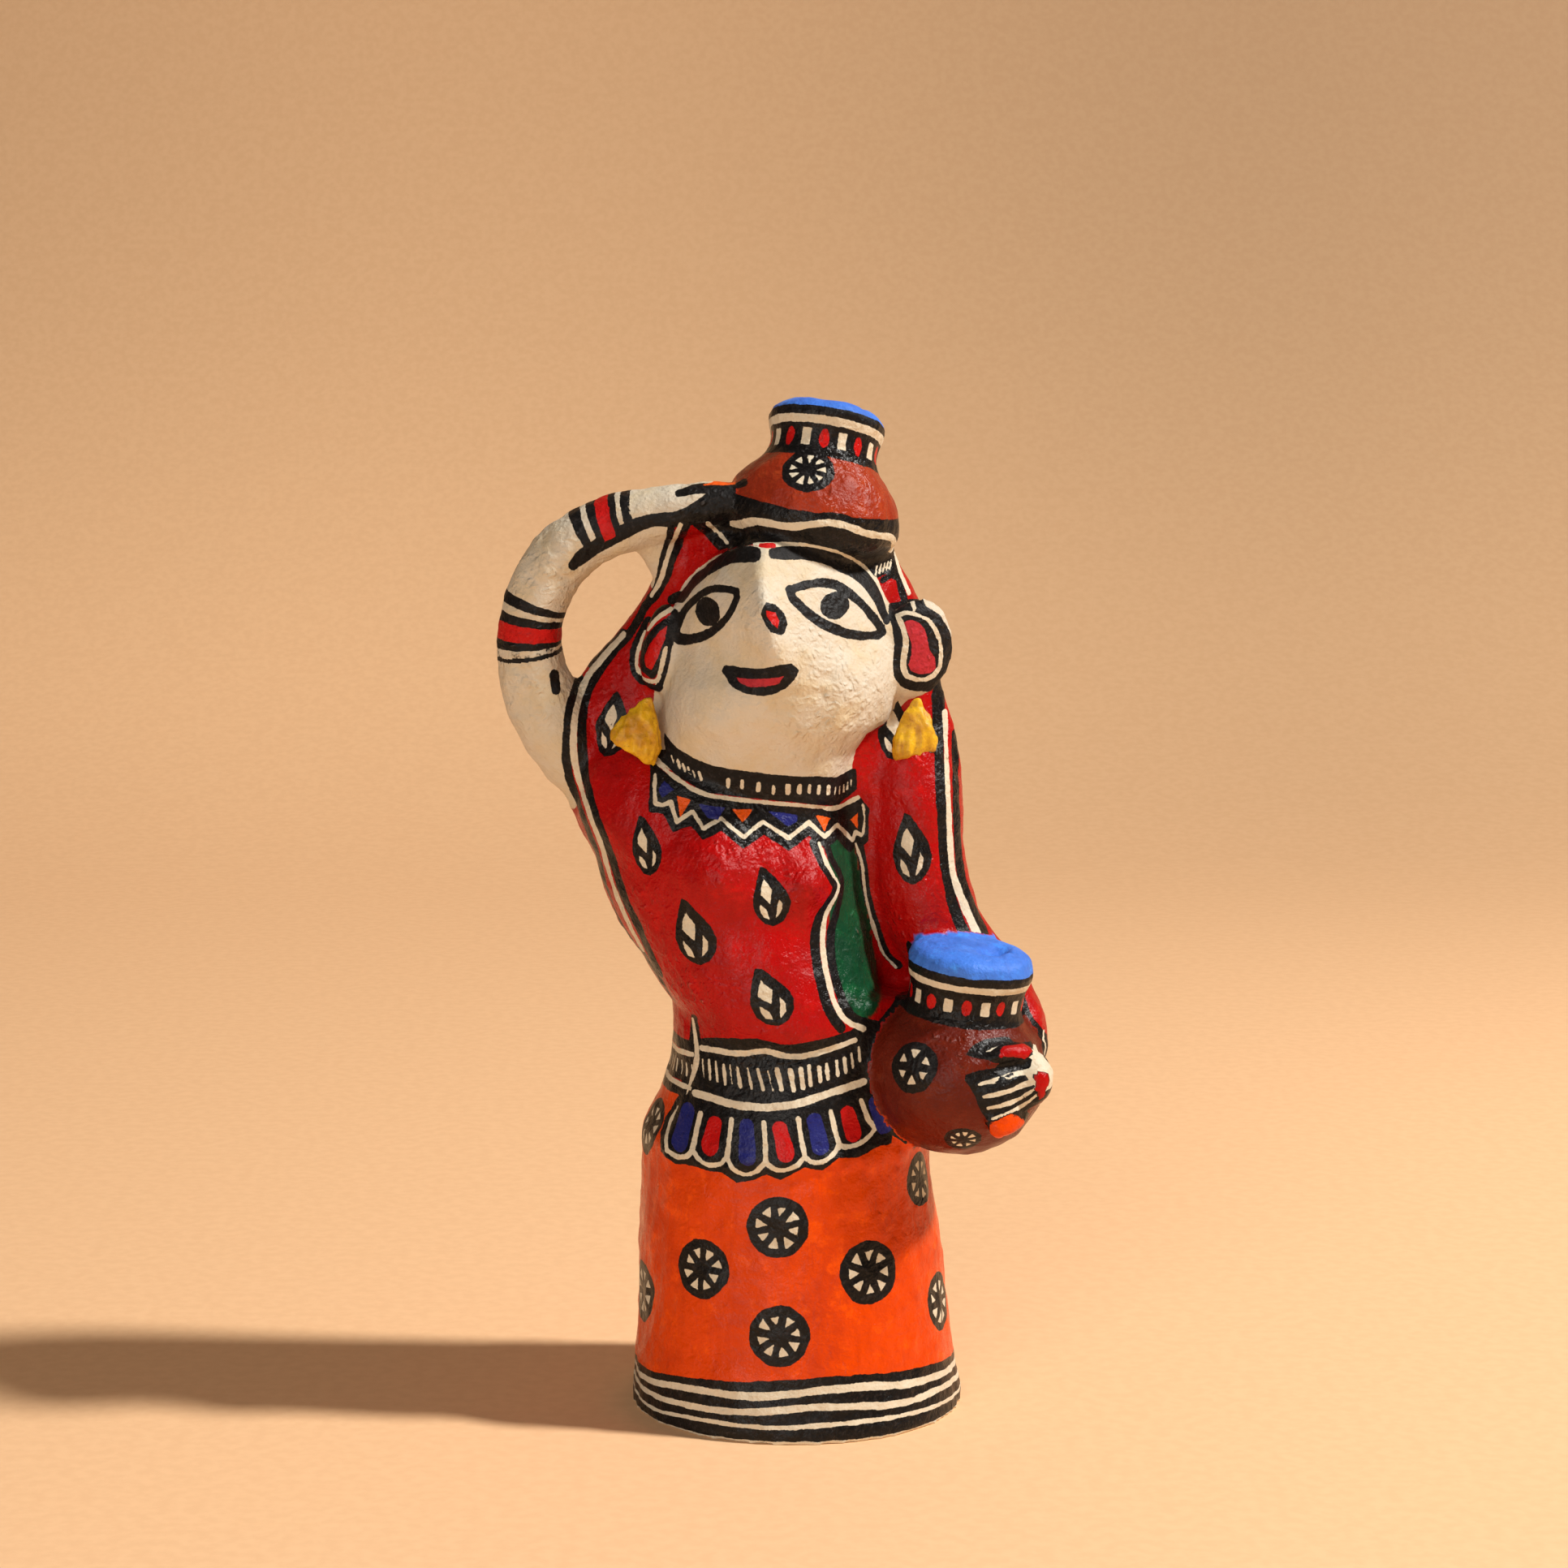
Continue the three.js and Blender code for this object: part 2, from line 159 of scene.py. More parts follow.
def directions(mesh):
    normals = np.empty(len(mesh.vertices) * 3)
    mesh.vertices.foreach_get("normal", normals)
    return normals.reshape(-1, 3)


def movePlaces(mesh, points):
    mesh.vertices.foreach_set("co", (points * mm).ravel())
    mesh.update()


def bumps(points, size, seed):
    shift = Vector((seed * 7.3, seed * 3.1, seed * 5.7))
    return np.array([noise.noise(Vector(p) / size + shift) for p in points])


def smoothStep(value, low, high):
    share = np.clip((value - low) / (high - low), 0.0, 1.0)
    return share * share * (3.0 - 2.0 * share)


# ---- the figure's surface ----

surfaceSettings = {
    "voxel": 1.0, "smoothing": 5,
    "lumps": [(14.0, 0.5, 1), (6.0, 0.36, 2), (2.6, 0.2, 3)],   # size, height and seed of each layer
    "crinkle": 0.9,
    "edgeCuts": 11000,   # edges split in each round, so that the faces stay under 200,000
}

crinkleAndSheenSpots = [   # x, y, z, radius and strength of places where the varnish dried in wrinkles, which also get a highlight painted into their colour
    (-12, -22, 127, 9, 1.0), (0, -26, 122, 8, 0.8), (-30, -10, 112, 11, 0.9), (-22, -20, 96, 13, 0.9),
    (-8, -26, 84, 8, 0.7), (-2, -26, 80, 7, 0.6), (20, -12, 108, 8, 1.0), (30, -12, 118, 9, 0.5),
    (-42, -2, 150, 8, 0.5), (-16, -8, 190, 6, 0.8), (34, -30, 86, 9, 0.7), (14, -20, 92, 5, 0.8),
    (8, -20, 158, 13, 1.0), (4, -26, 170, 9, 0.7), (6, -22, 180, 7, 0.6), (-7, -30, 176, 6, 0.8),
    (30, -8, 166, 8, 0.7), (-54, -6, 165, 16, 0.8), (-50, -6, 182, 12, 0.8), (-20, -10, 198, 8, 0.6),
    (10, -14, 198, 10, 0.7), (8, -16, 208, 9, 0.6), (-20, 24, 120, 24, 0.5), (8, 24, 150, 22, 0.5),
    (30, -2, 140, 12, 0.6),
]


def crinkleAndSheenAt(points):
    share = np.zeros(len(points))
    for cx, cy, cz, radius, strength in crinkleAndSheenSpots:
        away = np.linalg.norm(points - np.array((cx, cy, cz)), axis=1) / radius
        share = np.maximum(share, strength * np.exp(-away * away))
    return share


figure = nodeCopy("figure", "figure_paper", surfaceSettings["voxel"], surfaceSettings["smoothing"])
figurePoints = places(figure.data)
figureNormals = directions(figure.data)
lift = sum(height * bumps(figurePoints, size, seed) for size, height, seed in surfaceSettings["lumps"])
lift += surfaceSettings["crinkle"] * crinkleAndSheenAt(figurePoints) * (0.3 - np.abs(bumps(figurePoints, 3.2, 4)))
lift = lift * smoothStep(figurePoints[:, 2], 0.2, 3.0)
movePlaces(figure.data, figurePoints + figureNormals * lift[:, None])
print("figure surface:", len(figure.data.vertices), "points")


# ---- drawing on the surface ----

figurePoints = places(figure.data)
surfaceTree = BVHTree.FromPolygons(figurePoints.tolist(), [tuple(face.vertices)
    for face in figure.data.polygons])
strokes = []
patches = []
decals = []


def smoothLine(points, step):
    # A rounded line through the given points, sampled every step.
    points = np.array(points, float)
    ends = np.vstack([2 * points[0] - points[1], points, 2 * points[-1] - points[-2]])
    line = []
    for i in range(1, len(ends) - 2):
        before, start, end, after = ends[i - 1:i + 3]
        count = max(1, int(np.linalg.norm((end - start)[:3 if len(end) > 3 else 2]) / step))
        for k in range(count):
            t = k / count
            line.append(0.5 * (2 * start + (end - before) * t + (2 * before - 5 * start + 4 * end - after)
                * t * t + (3 * start - before - 3 * end + after) * t ** 3))
    line.append(points[-1])
    return np.array(line)


def frontPoint(x, z):
    hit = surfaceTree.ray_cast(Vector((x, -90.0, z)), Vector((0, 1, 0)))
    if hit[0] is None:
        hit = surfaceTree.find_nearest(Vector((x, -12.0, z)))
    return hit[0], hit[1]


def keepStroke(layer, path, colour, depthShare, on):
    start = path[:-1]
    end = path[1:]
    joined = np.linalg.norm(end[:, :3] - start[:, :3], axis=1) < 5.0
    if joined.any():
        strokes.append({"layer": layer, "start": start[joined], "end": end[joined], "colour": colour,
                        "metric": np.array((1.0, depthShare, 1.0)), "on": on})


def brush(layer, points, width=None, colour=None, closed=False, straight=False, on="body"):
    # A stroke on the side that faces forward: each point is (x, z) or (x, z, half width). Depth counts
    # for less than the rest, so that the stroke keeps its width where the surface turns away.
    full = [(p[0], p[1], p[2] if len(p) > 2 else width) for p in points]
    if closed:
        full.append(full[0])
    if straight:
        line = np.vstack([smoothLine([full[i], full[i + 1]], 1.2) for i in range(len(full) - 1)])
    else:
        line = smoothLine(full, 1.2)
    path = np.array([(*frontPoint(x, z)[0], w) for x, z, w in line])
    keepStroke(layer, path, colour, 0.4, on)


def ring(layer, points, width, colour=None, centre=(0.0, 0.0)):
    # A stroke round the body: each point is (turn, z), the turn in degrees from straight ahead to the right.
    line = smoothLine([(turn, z, width) for turn, z in points], 2.5)
    path = []
    for turn, z, half in line:
        out = Vector((math.sin(math.radians(turn)), -math.cos(math.radians(turn)), 0.0))
        start = Vector((centre[0], centre[1], z)) + out * 90.0
        hit = surfaceTree.ray_cast(start, -out)
        if hit[0] is not None:
            path.append((*hit[0], half))
    keepStroke(layer, np.array(path), colour, 1.0, "body")


def patch(layer, corners, colour=None, reach=12.0, grow=0.0, on="body"):
    # A filled shape seen from the front, on the surface within reach of its middle.
    outline = np.array(corners, float)
    middle = frontPoint(*outline.mean(axis=0))[0]
    patches.append({"layer": layer, "outline": outline, "depth": middle.y, "reach": reach, "grow": grow,
        "colour": colour, "on": on})


def decal(parts, point, normal, lean=0.0, scale=(1.0, 1.0)):
    # Filled shapes laid on the surface round one point, each a layer, an outline and a colour.
    normal = Vector(normal).normalized()
    up = (Vector((0, 0, 1)) - normal * normal.z).normalized()
    side = up.cross(normal)
    angle = math.radians(lean)
    upward = up * math.cos(angle) + side * math.sin(angle)
    sideways = side * math.cos(angle) - up * math.sin(angle)
    decals.append({"parts": parts, "point": np.array(point), "normal": np.array(normal),
                   "up": np.array(upward), "side": np.array(sideways), "scale": scale})


def oval(x, z, half, tall):
    return [(x + half * math.sin(k * math.tau / 16), z + tall * math.cos(k * math.tau / 16))
            for k in range(16)]


def outlineDistance(points, outline):
    # Signed distance to a closed outline, below zero inside it.
    best = np.full(len(points), 1e9)
    inside = np.zeros(len(points), bool)
    for i in range(len(outline)):
        a = outline[i]
        b = outline[(i + 1) % len(outline)]
        along = b - a
        offset = points - a
        share = np.clip(offset @ along / (along @ along), 0.0, 1.0)
        best = np.minimum(best, np.hypot(*(offset - share[:, None] * along).T))
        crosses = (a[1] > points[:, 1]) != (b[1] > points[:, 1])
        with np.errstate(divide="ignore", invalid="ignore"):
            edge = a[0] + (points[:, 1] - a[1]) * along[0] / along[1]
        inside ^= crosses & (points[:, 0] < edge)
    return np.where(inside, -best, best)


# ---- the proxies that say which part of the figure a point is on ----

potShapes = {
    "head": {"place": (3.0, -1.0, 193.3), "leanSide": 9.3, "leanBack": 6.0, "rise": 0.2, "top": 24.7,
             "profile": [(12.2, -10), (12.5, -6.6), (17.3, -3.9), (19.4, -0.6), (19.2, 2), (18.3, 5),
                         (16.7, 7.9), (14.4, 10.4), (12.6, 12.2), (11.8, 14.6), (11.8, 17.2),
                         (12.8, 20.2), (12.5, 22.2)]},
    "hip": {"place": (34.2, -14.0, 76.6), "leanSide": 7.0, "leanBack": -4.0, "rise": 0.0, "top": 28.0,
            "profile": [(7, -17.2), (9.2, -15.9), (12.7, -13.8), (15.5, -11.1), (17.7, -7.9), (19.1, -4.4),
                        (19.7, -0.6), (19.4, 2.9), (18.3, 6.2), (16.3, 9.3), (13.7, 11.9), (12.8, 13.2),
                        (12.2, 15.4), (12.4, 19), (13.4, 21.6), (13.5, 23.8), (12.6, 26.4)]},
}


def potFrame(points, pot):
    # Turn, height and gap from the pot's wall, in the pot's own upright frame.
    side = math.radians(pot["leanSide"])
    back = math.radians(pot["leanBack"])
    offset = points - np.array(pot["place"])
    x = offset[:, 0] * math.cos(side) - offset[:, 2] * math.sin(side)
    z = offset[:, 0] * math.sin(side) + offset[:, 2] * math.cos(side)
    y = offset[:, 1] * math.cos(back) - z * math.sin(back)
    height = offset[:, 1] * math.sin(back) + z * math.cos(back)
    height = height + pot["rise"] * smoothStep(height, 4.0, 20.0) * y
    radii = [r for r, h in pot["profile"]]
    heights = [h for r, h in pot["profile"]]
    radius = np.hypot(x, y)
    lid = np.interp(radius, [0.0, 6.0, radii[-1]], [pot["top"], pot["top"], heights[-1]])
    gap = np.maximum.reduce([radius - np.interp(height, heights, radii), heights[0] - height, height - lid])
    return np.degrees(np.arctan2(x, -y)), height, gap


def chainGap(points, joints):
    # Distance from a chain of joints (x, y, z, radius), less the radius there, and how far along the chain.
    best = np.full(len(points), 1e9)
    along = np.zeros(len(points))
    travelled = 0.0
    for a, b in zip(joints[:-1], joints[1:]):
        start = np.array(a[:3])
        span = np.array(b[:3]) - start
        share = np.clip((points - start) @ span / (span @ span), 0.0, 1.0)
        gap = np.linalg.norm(points - start - share[:, None] * span, axis=1) - (a[3] + share * (b[3] - a[3]))
        nearer = gap < best
        best = np.where(nearer, gap, best)
        along = np.where(nearer, travelled + share * np.linalg.norm(span), along)
        travelled += np.linalg.norm(span)
    return best, along


raisedArm = [(-37, 5, 132, 7.5), (-47.6, 4, 143, 9), (-54.2, 2, 153, 8.4), (-57.7, 0, 167.5, 7),
    (-54.6, -1, 180, 7), (-46, -2, 189.4, 6.8), (-36, -3, 193.3, 6.6), (-26, -5, 195.8, 6),
    (-15, -7, 197.8, 4.4)]
raisedArmLine = smoothLine(raisedArm, 2.0)
armFillet = [(-37, -2, 193, 4), (-30, 0, 189, 5), (-24, 3, 180, 5.5)]
hipHand = [(48.0, -15, 76.6, 6.6), (48.6, -23, 76.6, 6.8), (45.0, -29.5, 75, 3.0), (40.0, -32.5, 73.0, 2.4)]
# (z, x) of the veil's left edge
armBorder = [(127, -44.0), (132, -46.6), (138, -48.8), (142, -49.3), (150, -49.3), (155, -48.6),
    (159, -47.0), (163.5, -43.4), (168, -39.0), (177, -31.6), (182, -29.4), (187, -28.3), (190, -27.2),
    (194, -26.4), (197, -13.5), (206, -13.5)]

faceOutline = [(-4.7, 190.0), (1.9, 190.2), (6.2, 189.1), (10.7, 187.1), (14.1, 184.6), (16.3, 182.4),
    (18.3, 178.6), (19.9, 175.6), (21.0, 171.8), (22.5, 168.0), (22.5, 160.0), (25.5, 157.0), (22.0, 153.4),
    (18.3, 150.2), (14.9, 148.8), (12.6, 144.8), (11.6, 140.9), (11.9, 137.0), (0.0, 138.0), (-15.0, 139.0),
    (-24.0, 140.5), (-31.2, 143.0), (-31.4, 148.0), (-31.0, 153.3), (-30.4, 158.6), (-29.0, 163.9),
    (-28.0, 168.8), (-27.2, 172.6), (-26.0, 176.7), (-24.4, 180.2), (-21.6, 183.3), (-17.0, 186.8),
    (-11.0, 189.6)]


# ---- what is painted ----

# Face
brush("ink", [(-9.2, 188.1, 1.5), (-13.4, 187.6, 1.5), (-17.8, 185.0, 1.35), (-21.7, 181.3, 1.2),
    (-24.5, 177.8, 1.1)])
brush("ink", [(-24.5, 177.8, 1.2), (-27.8, 176.0, 0.9), (-31.1, 173.0, 0.8), (-33.9, 168.3, 0.8),
    (-35.2, 163.9, 0.7), (-34.4, 160.5, 0.7), (-32.0, 158.8, 0.7), (-29.8, 158.1, 0.6), (-28.5, 161.6, 0.5),
    (-27.3, 166.7, 0.45), (-26.6, 171.0, 0.5), (-26.0, 174.7, 0.5)])
brush("ink", [(-26.8, 173.2), (-29.4, 171.5), (-31.7, 168.7), (-33.2, 165.2), (-32.8, 162.5),
    (-30.9, 161.3), (-29.4, 164.4), (-28.0, 168.3), (-27.1, 171.6)], 0.6)
brush("chalk", [(-26.8, 175.4), (-30.0, 173.1), (-32.5, 169.6), (-34.4, 164.5), (-34.0, 161.3),
    (-31.4, 159.8), (-29.8, 159.9), (-28.8, 163.6), (-27.9, 167.2)], 0.45)
patch("accent", [(-27.6, 172.0), (-29.4, 170.4), (-31.2, 167.6), (-32.3, 164.2), (-32.1, 162.9),
    (-30.9, 162.5), (-29.6, 165.3), (-28.3, 168.9)], "scarlet")
brush("ink", [(-12.8, 180.7, 0.6), (-15.8, 180.9, 0.6), (-18.8, 180.2, 0.6), (-21.9, 177.7, 0.6),
    (-24.2, 174.7, 0.7), (-26.0, 170.5, 0.9), (-25.0, 169.2, 1.1), (-22.7, 169.5, 0.9),
    (-19.4, 170.8, 0.75), (-16.0, 173.5, 0.6), (-13.8, 176.6, 0.55), (-12.6, 179.6, 0.55)], closed=True)
patch("ink", oval(-18.8, 175.8, 2.5, 2.8))
brush("ink", [(-1.7, 181.0, 0.7), (2.4, 181.8, 0.7), (6.2, 181.8, 0.75), (9.5, 180.5, 0.8),
    (12.6, 177.8, 0.75), (15.1, 175.1, 0.7), (18.1, 170.6, 0.8), (15.6, 170.2, 0.7), (12.2, 170.7, 0.8),
    (8.7, 171.9, 0.85), (5.1, 173.8, 0.85), (1.6, 176.6, 0.8), (-1.1, 179.5, 0.7)], closed=True)
patch("ink", oval(7.9, 177.1, 2.9, 2.6))
patch("ink", [(-6.5, 178.8), (-4.6, 178.2), (-2.8, 176.1), (-2.1, 174.1), (-3.1, 172.3), (-5.4, 172.9),
    (-6.5, 174.4), (-7.4, 176.5)])
patch("accent", [(-6.4, 177.2), (-4.6, 176.7), (-3.7, 175.0), (-4.0, 173.4), (-5.2, 174.4), (-6.4, 176.1)],
    "scarlet")
patch("ink", [(-15.8, 163.7), (-15.2, 164.8), (-13.0, 164.8), (-10.0, 164.5), (-6.8, 164.8), (-3.6, 165.8),
    (-1.3, 165.8), (0.1, 164.5), (-0.4, 163.1), (-2.5, 160.9), (-4.9, 159.7), (-7.9, 159.2), (-11.1, 159.7),
    (-13.6, 161.0)])
patch("accent", [(-12.8, 162.8), (-10.6, 162.4), (-7.3, 162.7), (-2.9, 163.4), (-3.8, 161.9), (-6.8, 161.0),
    (-10.0, 160.9), (-12.1, 161.7)], "rose")
brush("ink", [(-4.9, 188.3, 1.0), (-1.9, 188.3, 1.25), (1.9, 188.1, 1.2), (5.7, 187.1, 1.3),
    (9.0, 185.6, 1.5), (12.3, 183.6, 1.6), (15.1, 181.0, 1.4), (17.1, 177.9, 1.1), (18.2, 174.9, 0.8),
    (19.1, 172.7, 0.6)])
brush("chalk", [(-9.0, 190.1), (-4.7, 190.1), (-0.3, 190.0), (3.5, 189.5), (6.8, 188.7), (10.1, 187.2),
    (13.2, 185.0), (15.9, 182.3), (17.8, 179.3), (18.9, 176.4)], 0.38)
brush("accent", [(-7.6, 189.9), (-5.0, 189.9)], 0.5, "scarlet")

# Hair between the face and the pot
patch("ink", [(-24.0, 196.5), (-21.7, 193.0), (-16.6, 187.9), (-13.5, 188.9), (-9.0, 190.3), (-1.9, 190.4),
    (3.5, 189.9), (6.8, 189.1), (10.7, 187.4), (14.1, 184.9), (16.6, 181.6), (20.4, 182.6), (22.0, 188.0),
    (22.0, 194.0), (0.0, 197.0), (-14.0, 200.0)], reach=26.0)
for x, z, half in [(-18.2, 192.8, 0.5), (-16.8, 191.4, 0.35), (-15.6, 190.3, 0.4), (-14.2, 189.5, 0.35)]:
    brush("chalk", [(x - 0.7, z + 0.9, half), (x + 0.7, z - 0.9, half)])
for x in [16.9, 17.8, 18.6, 19.3, 20.0]:
    brush("chalk", [(x - 0.2, 182.2 + 0.3 * (x - 17), 0.22), (x + 0.2, 184.0 + 0.3 * (x - 17), 0.22)])

# Right ear: a black leaf, a cream ring and a rose core
patch("ink", [(19.7, 175.7), (22.0, 175.9), (24.8, 176.2), (27.6, 175.5), (30.4, 173.4), (32.6, 169.9),
    (33.6, 165.7), (33.4, 161.8), (32.6, 158.1), (31.1, 156.9), (28.6, 157.3), (25.2, 157.6), (22.4, 158.7),
    (20.8, 160.9), (20.5, 164.2), (20.9, 168.1), (20.4, 171.4), (19.6, 173.8)], reach=16.0)
brush("chalk", [(21.3, 173.8, 0.5), (23.0, 174.5, 0.42), (25.6, 174.0, 0.42), (27.7, 173.0, 0.42),
    (29.4, 170.9, 0.45), (30.5, 168.1, 0.45), (30.8, 165.0, 0.45), (30.5, 162.5, 0.5), (29.3, 160.8, 0.5),
    (27.4, 160.0, 0.5), (25.3, 160.1, 0.5), (23.4, 160.9, 0.55), (22.7, 162.5, 0.62), (22.7, 165.3, 0.62),
    (23.2, 168.1, 0.6), (22.5, 171.4, 0.55)], closed=True)
patch("accent", [(22.5, 172.6), (24.2, 173.3), (25.9, 172.7), (27.3, 171.2), (28.0, 169.3), (28.4, 166.8),
    (29.6, 164.5), (29.9, 162.2), (28.6, 161.1), (26.3, 160.9), (24.1, 161.9), (23.4, 163.5), (24.1, 165.3),
    (24.1, 168.1), (23.0, 170.8)], "rose", grow=-0.25)

# Veil edges: black, cream, black
brush("ink", [(-26.6, 193.4), (-27.2, 190.1), (-28.3, 186.8), (-29.3, 182.1), (-30.4, 178.7),
    (-31.7, 176.7)], 0.55)
brush("ink", [(-23.6, 193.4), (-25.3, 189.0), (-26.8, 185.7), (-27.9, 182.2), (-30.3, 177.7),
    (-32.7, 174.9), (-33.8, 172.6), (-35.9, 169.2), (-40.4, 164.1), (-43.8, 159.1), (-45.7, 154.8),
    (-46.2, 148.5), (-45.6, 139.6), (-43.2, 131.3), (-40.5, 124.8), (-38.6, 118.5), (-36.6, 112.6),
    (-33.8, 107.0), (-31.8, 102.0), (-29.5, 97.0)], 0.85)
brush("ink", [(-37.6, 168.8), (-42.4, 164.2), (-46.4, 160.0), (-48.6, 153.8), (-49.5, 145.8),
    (-49.1, 138.6), (-46.8, 131.9), (-43.7, 123.8), (-41.1, 113.9), (-38.2, 106.0), (-34.4, 99.0)], 0.8)
brush("chalk", [(-24.7, 193.4), (-25.9, 190.5), (-27.3, 187.2), (-28.3, 183.7), (-29.5, 180.3),
    (-31.3, 177.2)], 0.5)
brush("chalk", [(-37.4, 168.6), (-42.1, 163.5), (-45.5, 159.0), (-47.2, 154.0), (-47.9, 149.0),
    (-47.9, 143.0), (-46.9, 137.5), (-44.6, 131.5), (-42.1, 124.8), (-40.0, 117.0), (-37.2, 109.8),
    (-34.6, 104.2), (-33.2, 101.8)], 0.72)
brush("ink", [(-33.2, 100.8, 1.2), (-30.6, 96.6, 0.9), (-27.8, 92.4, 0.6), (-26.4, 90.6, 0.4)])

brush("ink", [(20.6, 186.4), (21.0, 183.7), (21.7, 181.0), (23.1, 176.0)], 0.6)
brush("ink", [(22.3, 186.0), (24.3, 180.4), (26.6, 175.4)], 0.7)
brush("chalk", [(21.0, 186.2), (22.4, 181.6), (24.1, 177.8), (25.0, 175.3)], 0.45)
brush("ink", [(18.4, 180.9), (20.2, 182.0), (21.2, 181.2)], 0.5)
brush("ink", [(30.6, 155.6, 1.6), (30.5, 146.9, 1.0), (30.7, 138.5, 1.0), (31.2, 129.5, 1.0),
    (31.9, 119.4, 1.0), (34.1, 109.8, 1.0), (37.6, 103.1, 1.0)])
brush("ink", [(32.6, 156.2, 1.4), (34.1, 149.2, 0.8), (34.2, 137.8, 0.8), (34.6, 125.8, 0.8),
    (35.5, 116.8, 0.9), (38.5, 109.1, 0.9), (41.4, 103.4, 0.9)])
brush("chalk", [(32.0, 151.8, 0.7), (32.1, 145.0, 0.5), (32.3, 138.3, 0.6), (32.7, 129.3, 0.65),
    (33.5, 118.7, 0.75), (36.1, 111.0, 0.9), (39.3, 104.0, 1.0)])

# Collar
patch("ink", [(-28.3, 148.9), (-26.9, 147.2), (-24.6, 145.6), (-21.7, 144.2), (-18.0, 143.0),
    (-12.4, 142.1), (-4.2, 141.1), (4.4, 140.4), (8.5, 139.7), (12.4, 140.6), (12.8, 136.5), (8.6, 133.4),
    (0.0, 135.2), (-10.9, 136.4), (-19.1, 137.4), (-25.1, 140.4), (-29.9, 144.2), (-30.3, 145.2),
    (-27.9, 145.4)], reach=16)
patch("ink", [(-31.0, 143.0), (-25.1, 139.0), (-19.1, 136.4), (-10.9, 135.2), (0.0, 134.0), (8.6, 132.2),
    (13.3, 134.6), (15.3, 132.0), (15.2, 125.0), (14.0, 123.9), (12.6, 124.4), (11.4, 122.9), (8.6, 126.6),
    (6.2, 124.9), (2.6, 128.1), (-1.8, 125.3), (-7.0, 128.8), (-11.4, 126.4), (-16.0, 130.0),
    (-19.9, 128.3), (-22.4, 130.8), (-26.2, 129.3), (-28.2, 132.9), (-31.3, 133.2)], reach=16)
brush("chalk", [(-29.5, 142.6), (-27.4, 141.1), (-25.1, 139.6), (-22.1, 137.9), (-19.1, 136.8),
    (-15.4, 136.2), (-10.9, 135.6), (-7.2, 135.2), (-3.8, 134.8), (1.0, 134.3), (4.8, 133.5), (8.6, 132.7),
    (13.1, 134.5)], 0.45)
collarTicks = [(-26.5, 143.7, 0.2), (-25.2, 142.9, 0.25), (-24.0, 142.1, 0.25), (-22.9, 141.5, 0.25),
    (-21.9, 140.9, 0.15), (-20.6, 140.6, 0.3), (-14.6, 139.3, 0.5), (-11.7, 139.1, 0.4), (-8.2, 138.6, 0.4),
    (-5.0, 137.9, 0.4), (-2.0, 138.0, 0.55), (0.5, 138.0, 0.45), (2.6, 137.9, 0.4), (4.6, 137.6, 0.4),
    (6.7, 137.2, 0.5), (8.1, 136.7, 0.2), (9.1, 136.6, 0.2), (10.0, 136.8, 0.2), (10.8, 137.2, 0.2),
    (11.6, 137.9, 0.2)]
for x, z, half in collarTicks:
    lean = -0.25 if x < -19 else 0.05
    brush("chalk", [(x + lean, z + 0.75, half), (x - lean, z - 0.75, half)])
brush("chalk", [(-30.2, 140.5), (-30.3, 137.5), (-30.0, 134.8), (-28.6, 134.5), (-26.8, 135.2),
    (-25.5, 131.2), (-22.1, 133.5), (-19.9, 130.2), (-16.1, 132.1), (-11.3, 128.4), (-7.2, 131.2),
    (-1.8, 127.6), (2.5, 130.6), (5.9, 127.2), (8.6, 129.3), (11.9, 125.2), (12.6, 127.0), (13.8, 126.2)],
    0.42, straight=True)
brush("chalk", [(14.1, 133.0), (14.5, 130.0), (14.2, 126.4)], 0.25)
collarTriangles = [
    ("navy", [(-28.3, 139.5), (-26.2, 137.7), (-28.7, 135.9), (-29.5, 137.6)]),
    ("tangerine", [(-25.5, 136.5), (-22.5, 135.7), (-24.8, 132.2)]),
    ("navy", [(-21.3, 135.2), (-15.2, 134.2), (-16.9, 131.8), (-18.9, 132.2)]),
    ("tangerine", [(-13.9, 133.9), (-9.4, 133.7), (-11.5, 131.2)]),
    ("navy", [(-6.1, 133.3), (0.1, 132.3), (0.1, 131.0), (-2.0, 130.0)]),
    ("tangerine", [(3.8, 131.9), (7.1, 130.8), (5.8, 128.4)]),
    ("tangerine", [(11.4, 129.7), (13.1, 131.4), (13.1, 127.6)]),
]
for colour, corners in collarTriangles:
    patch("accent", corners, colour)

# Green panel between the bodice and the veil
greenPanel = [(5.5, 127.0), (12.0, 126.5), (14.2, 116.4), (15.2, 109.6), (17.4, 102.8), (19.6, 98.0),
    (18.4, 92.6), (14.4, 87.6), (10.0, 90.0), (7.6, 97.3), (6.1, 104.0), (6.8, 111.4), (8.9, 115.7),
    (7.0, 121.0)]
brush("ink", [(3.6, 126.4, 0.9), (5.3, 122.3, 0.6), (7.2, 119.0, 0.6), (8.2, 116.9, 0.5), (6.6, 113.8, 0.7),
    (4.8, 111.0, 0.9), (3.9, 107.4, 0.9), (3.9, 103.0, 0.9), (4.9, 97.8, 0.9), (6.6, 92.0, 0.9),
    (9.4, 87.4, 0.9)])
brush("ink", [(6.0, 126.4, 0.6), (7.4, 122.6, 0.5), (8.9, 119.6, 0.5), (9.7, 116.6, 0.4), (8.6, 112.0, 0.6),
    (7.3, 107.4, 0.8), (7.1, 103.0, 0.8), (8.1, 97.8, 0.8), (9.8, 92.4, 0.8), (12.2, 89.2, 0.8),
    (14.6, 88.2, 0.8)])
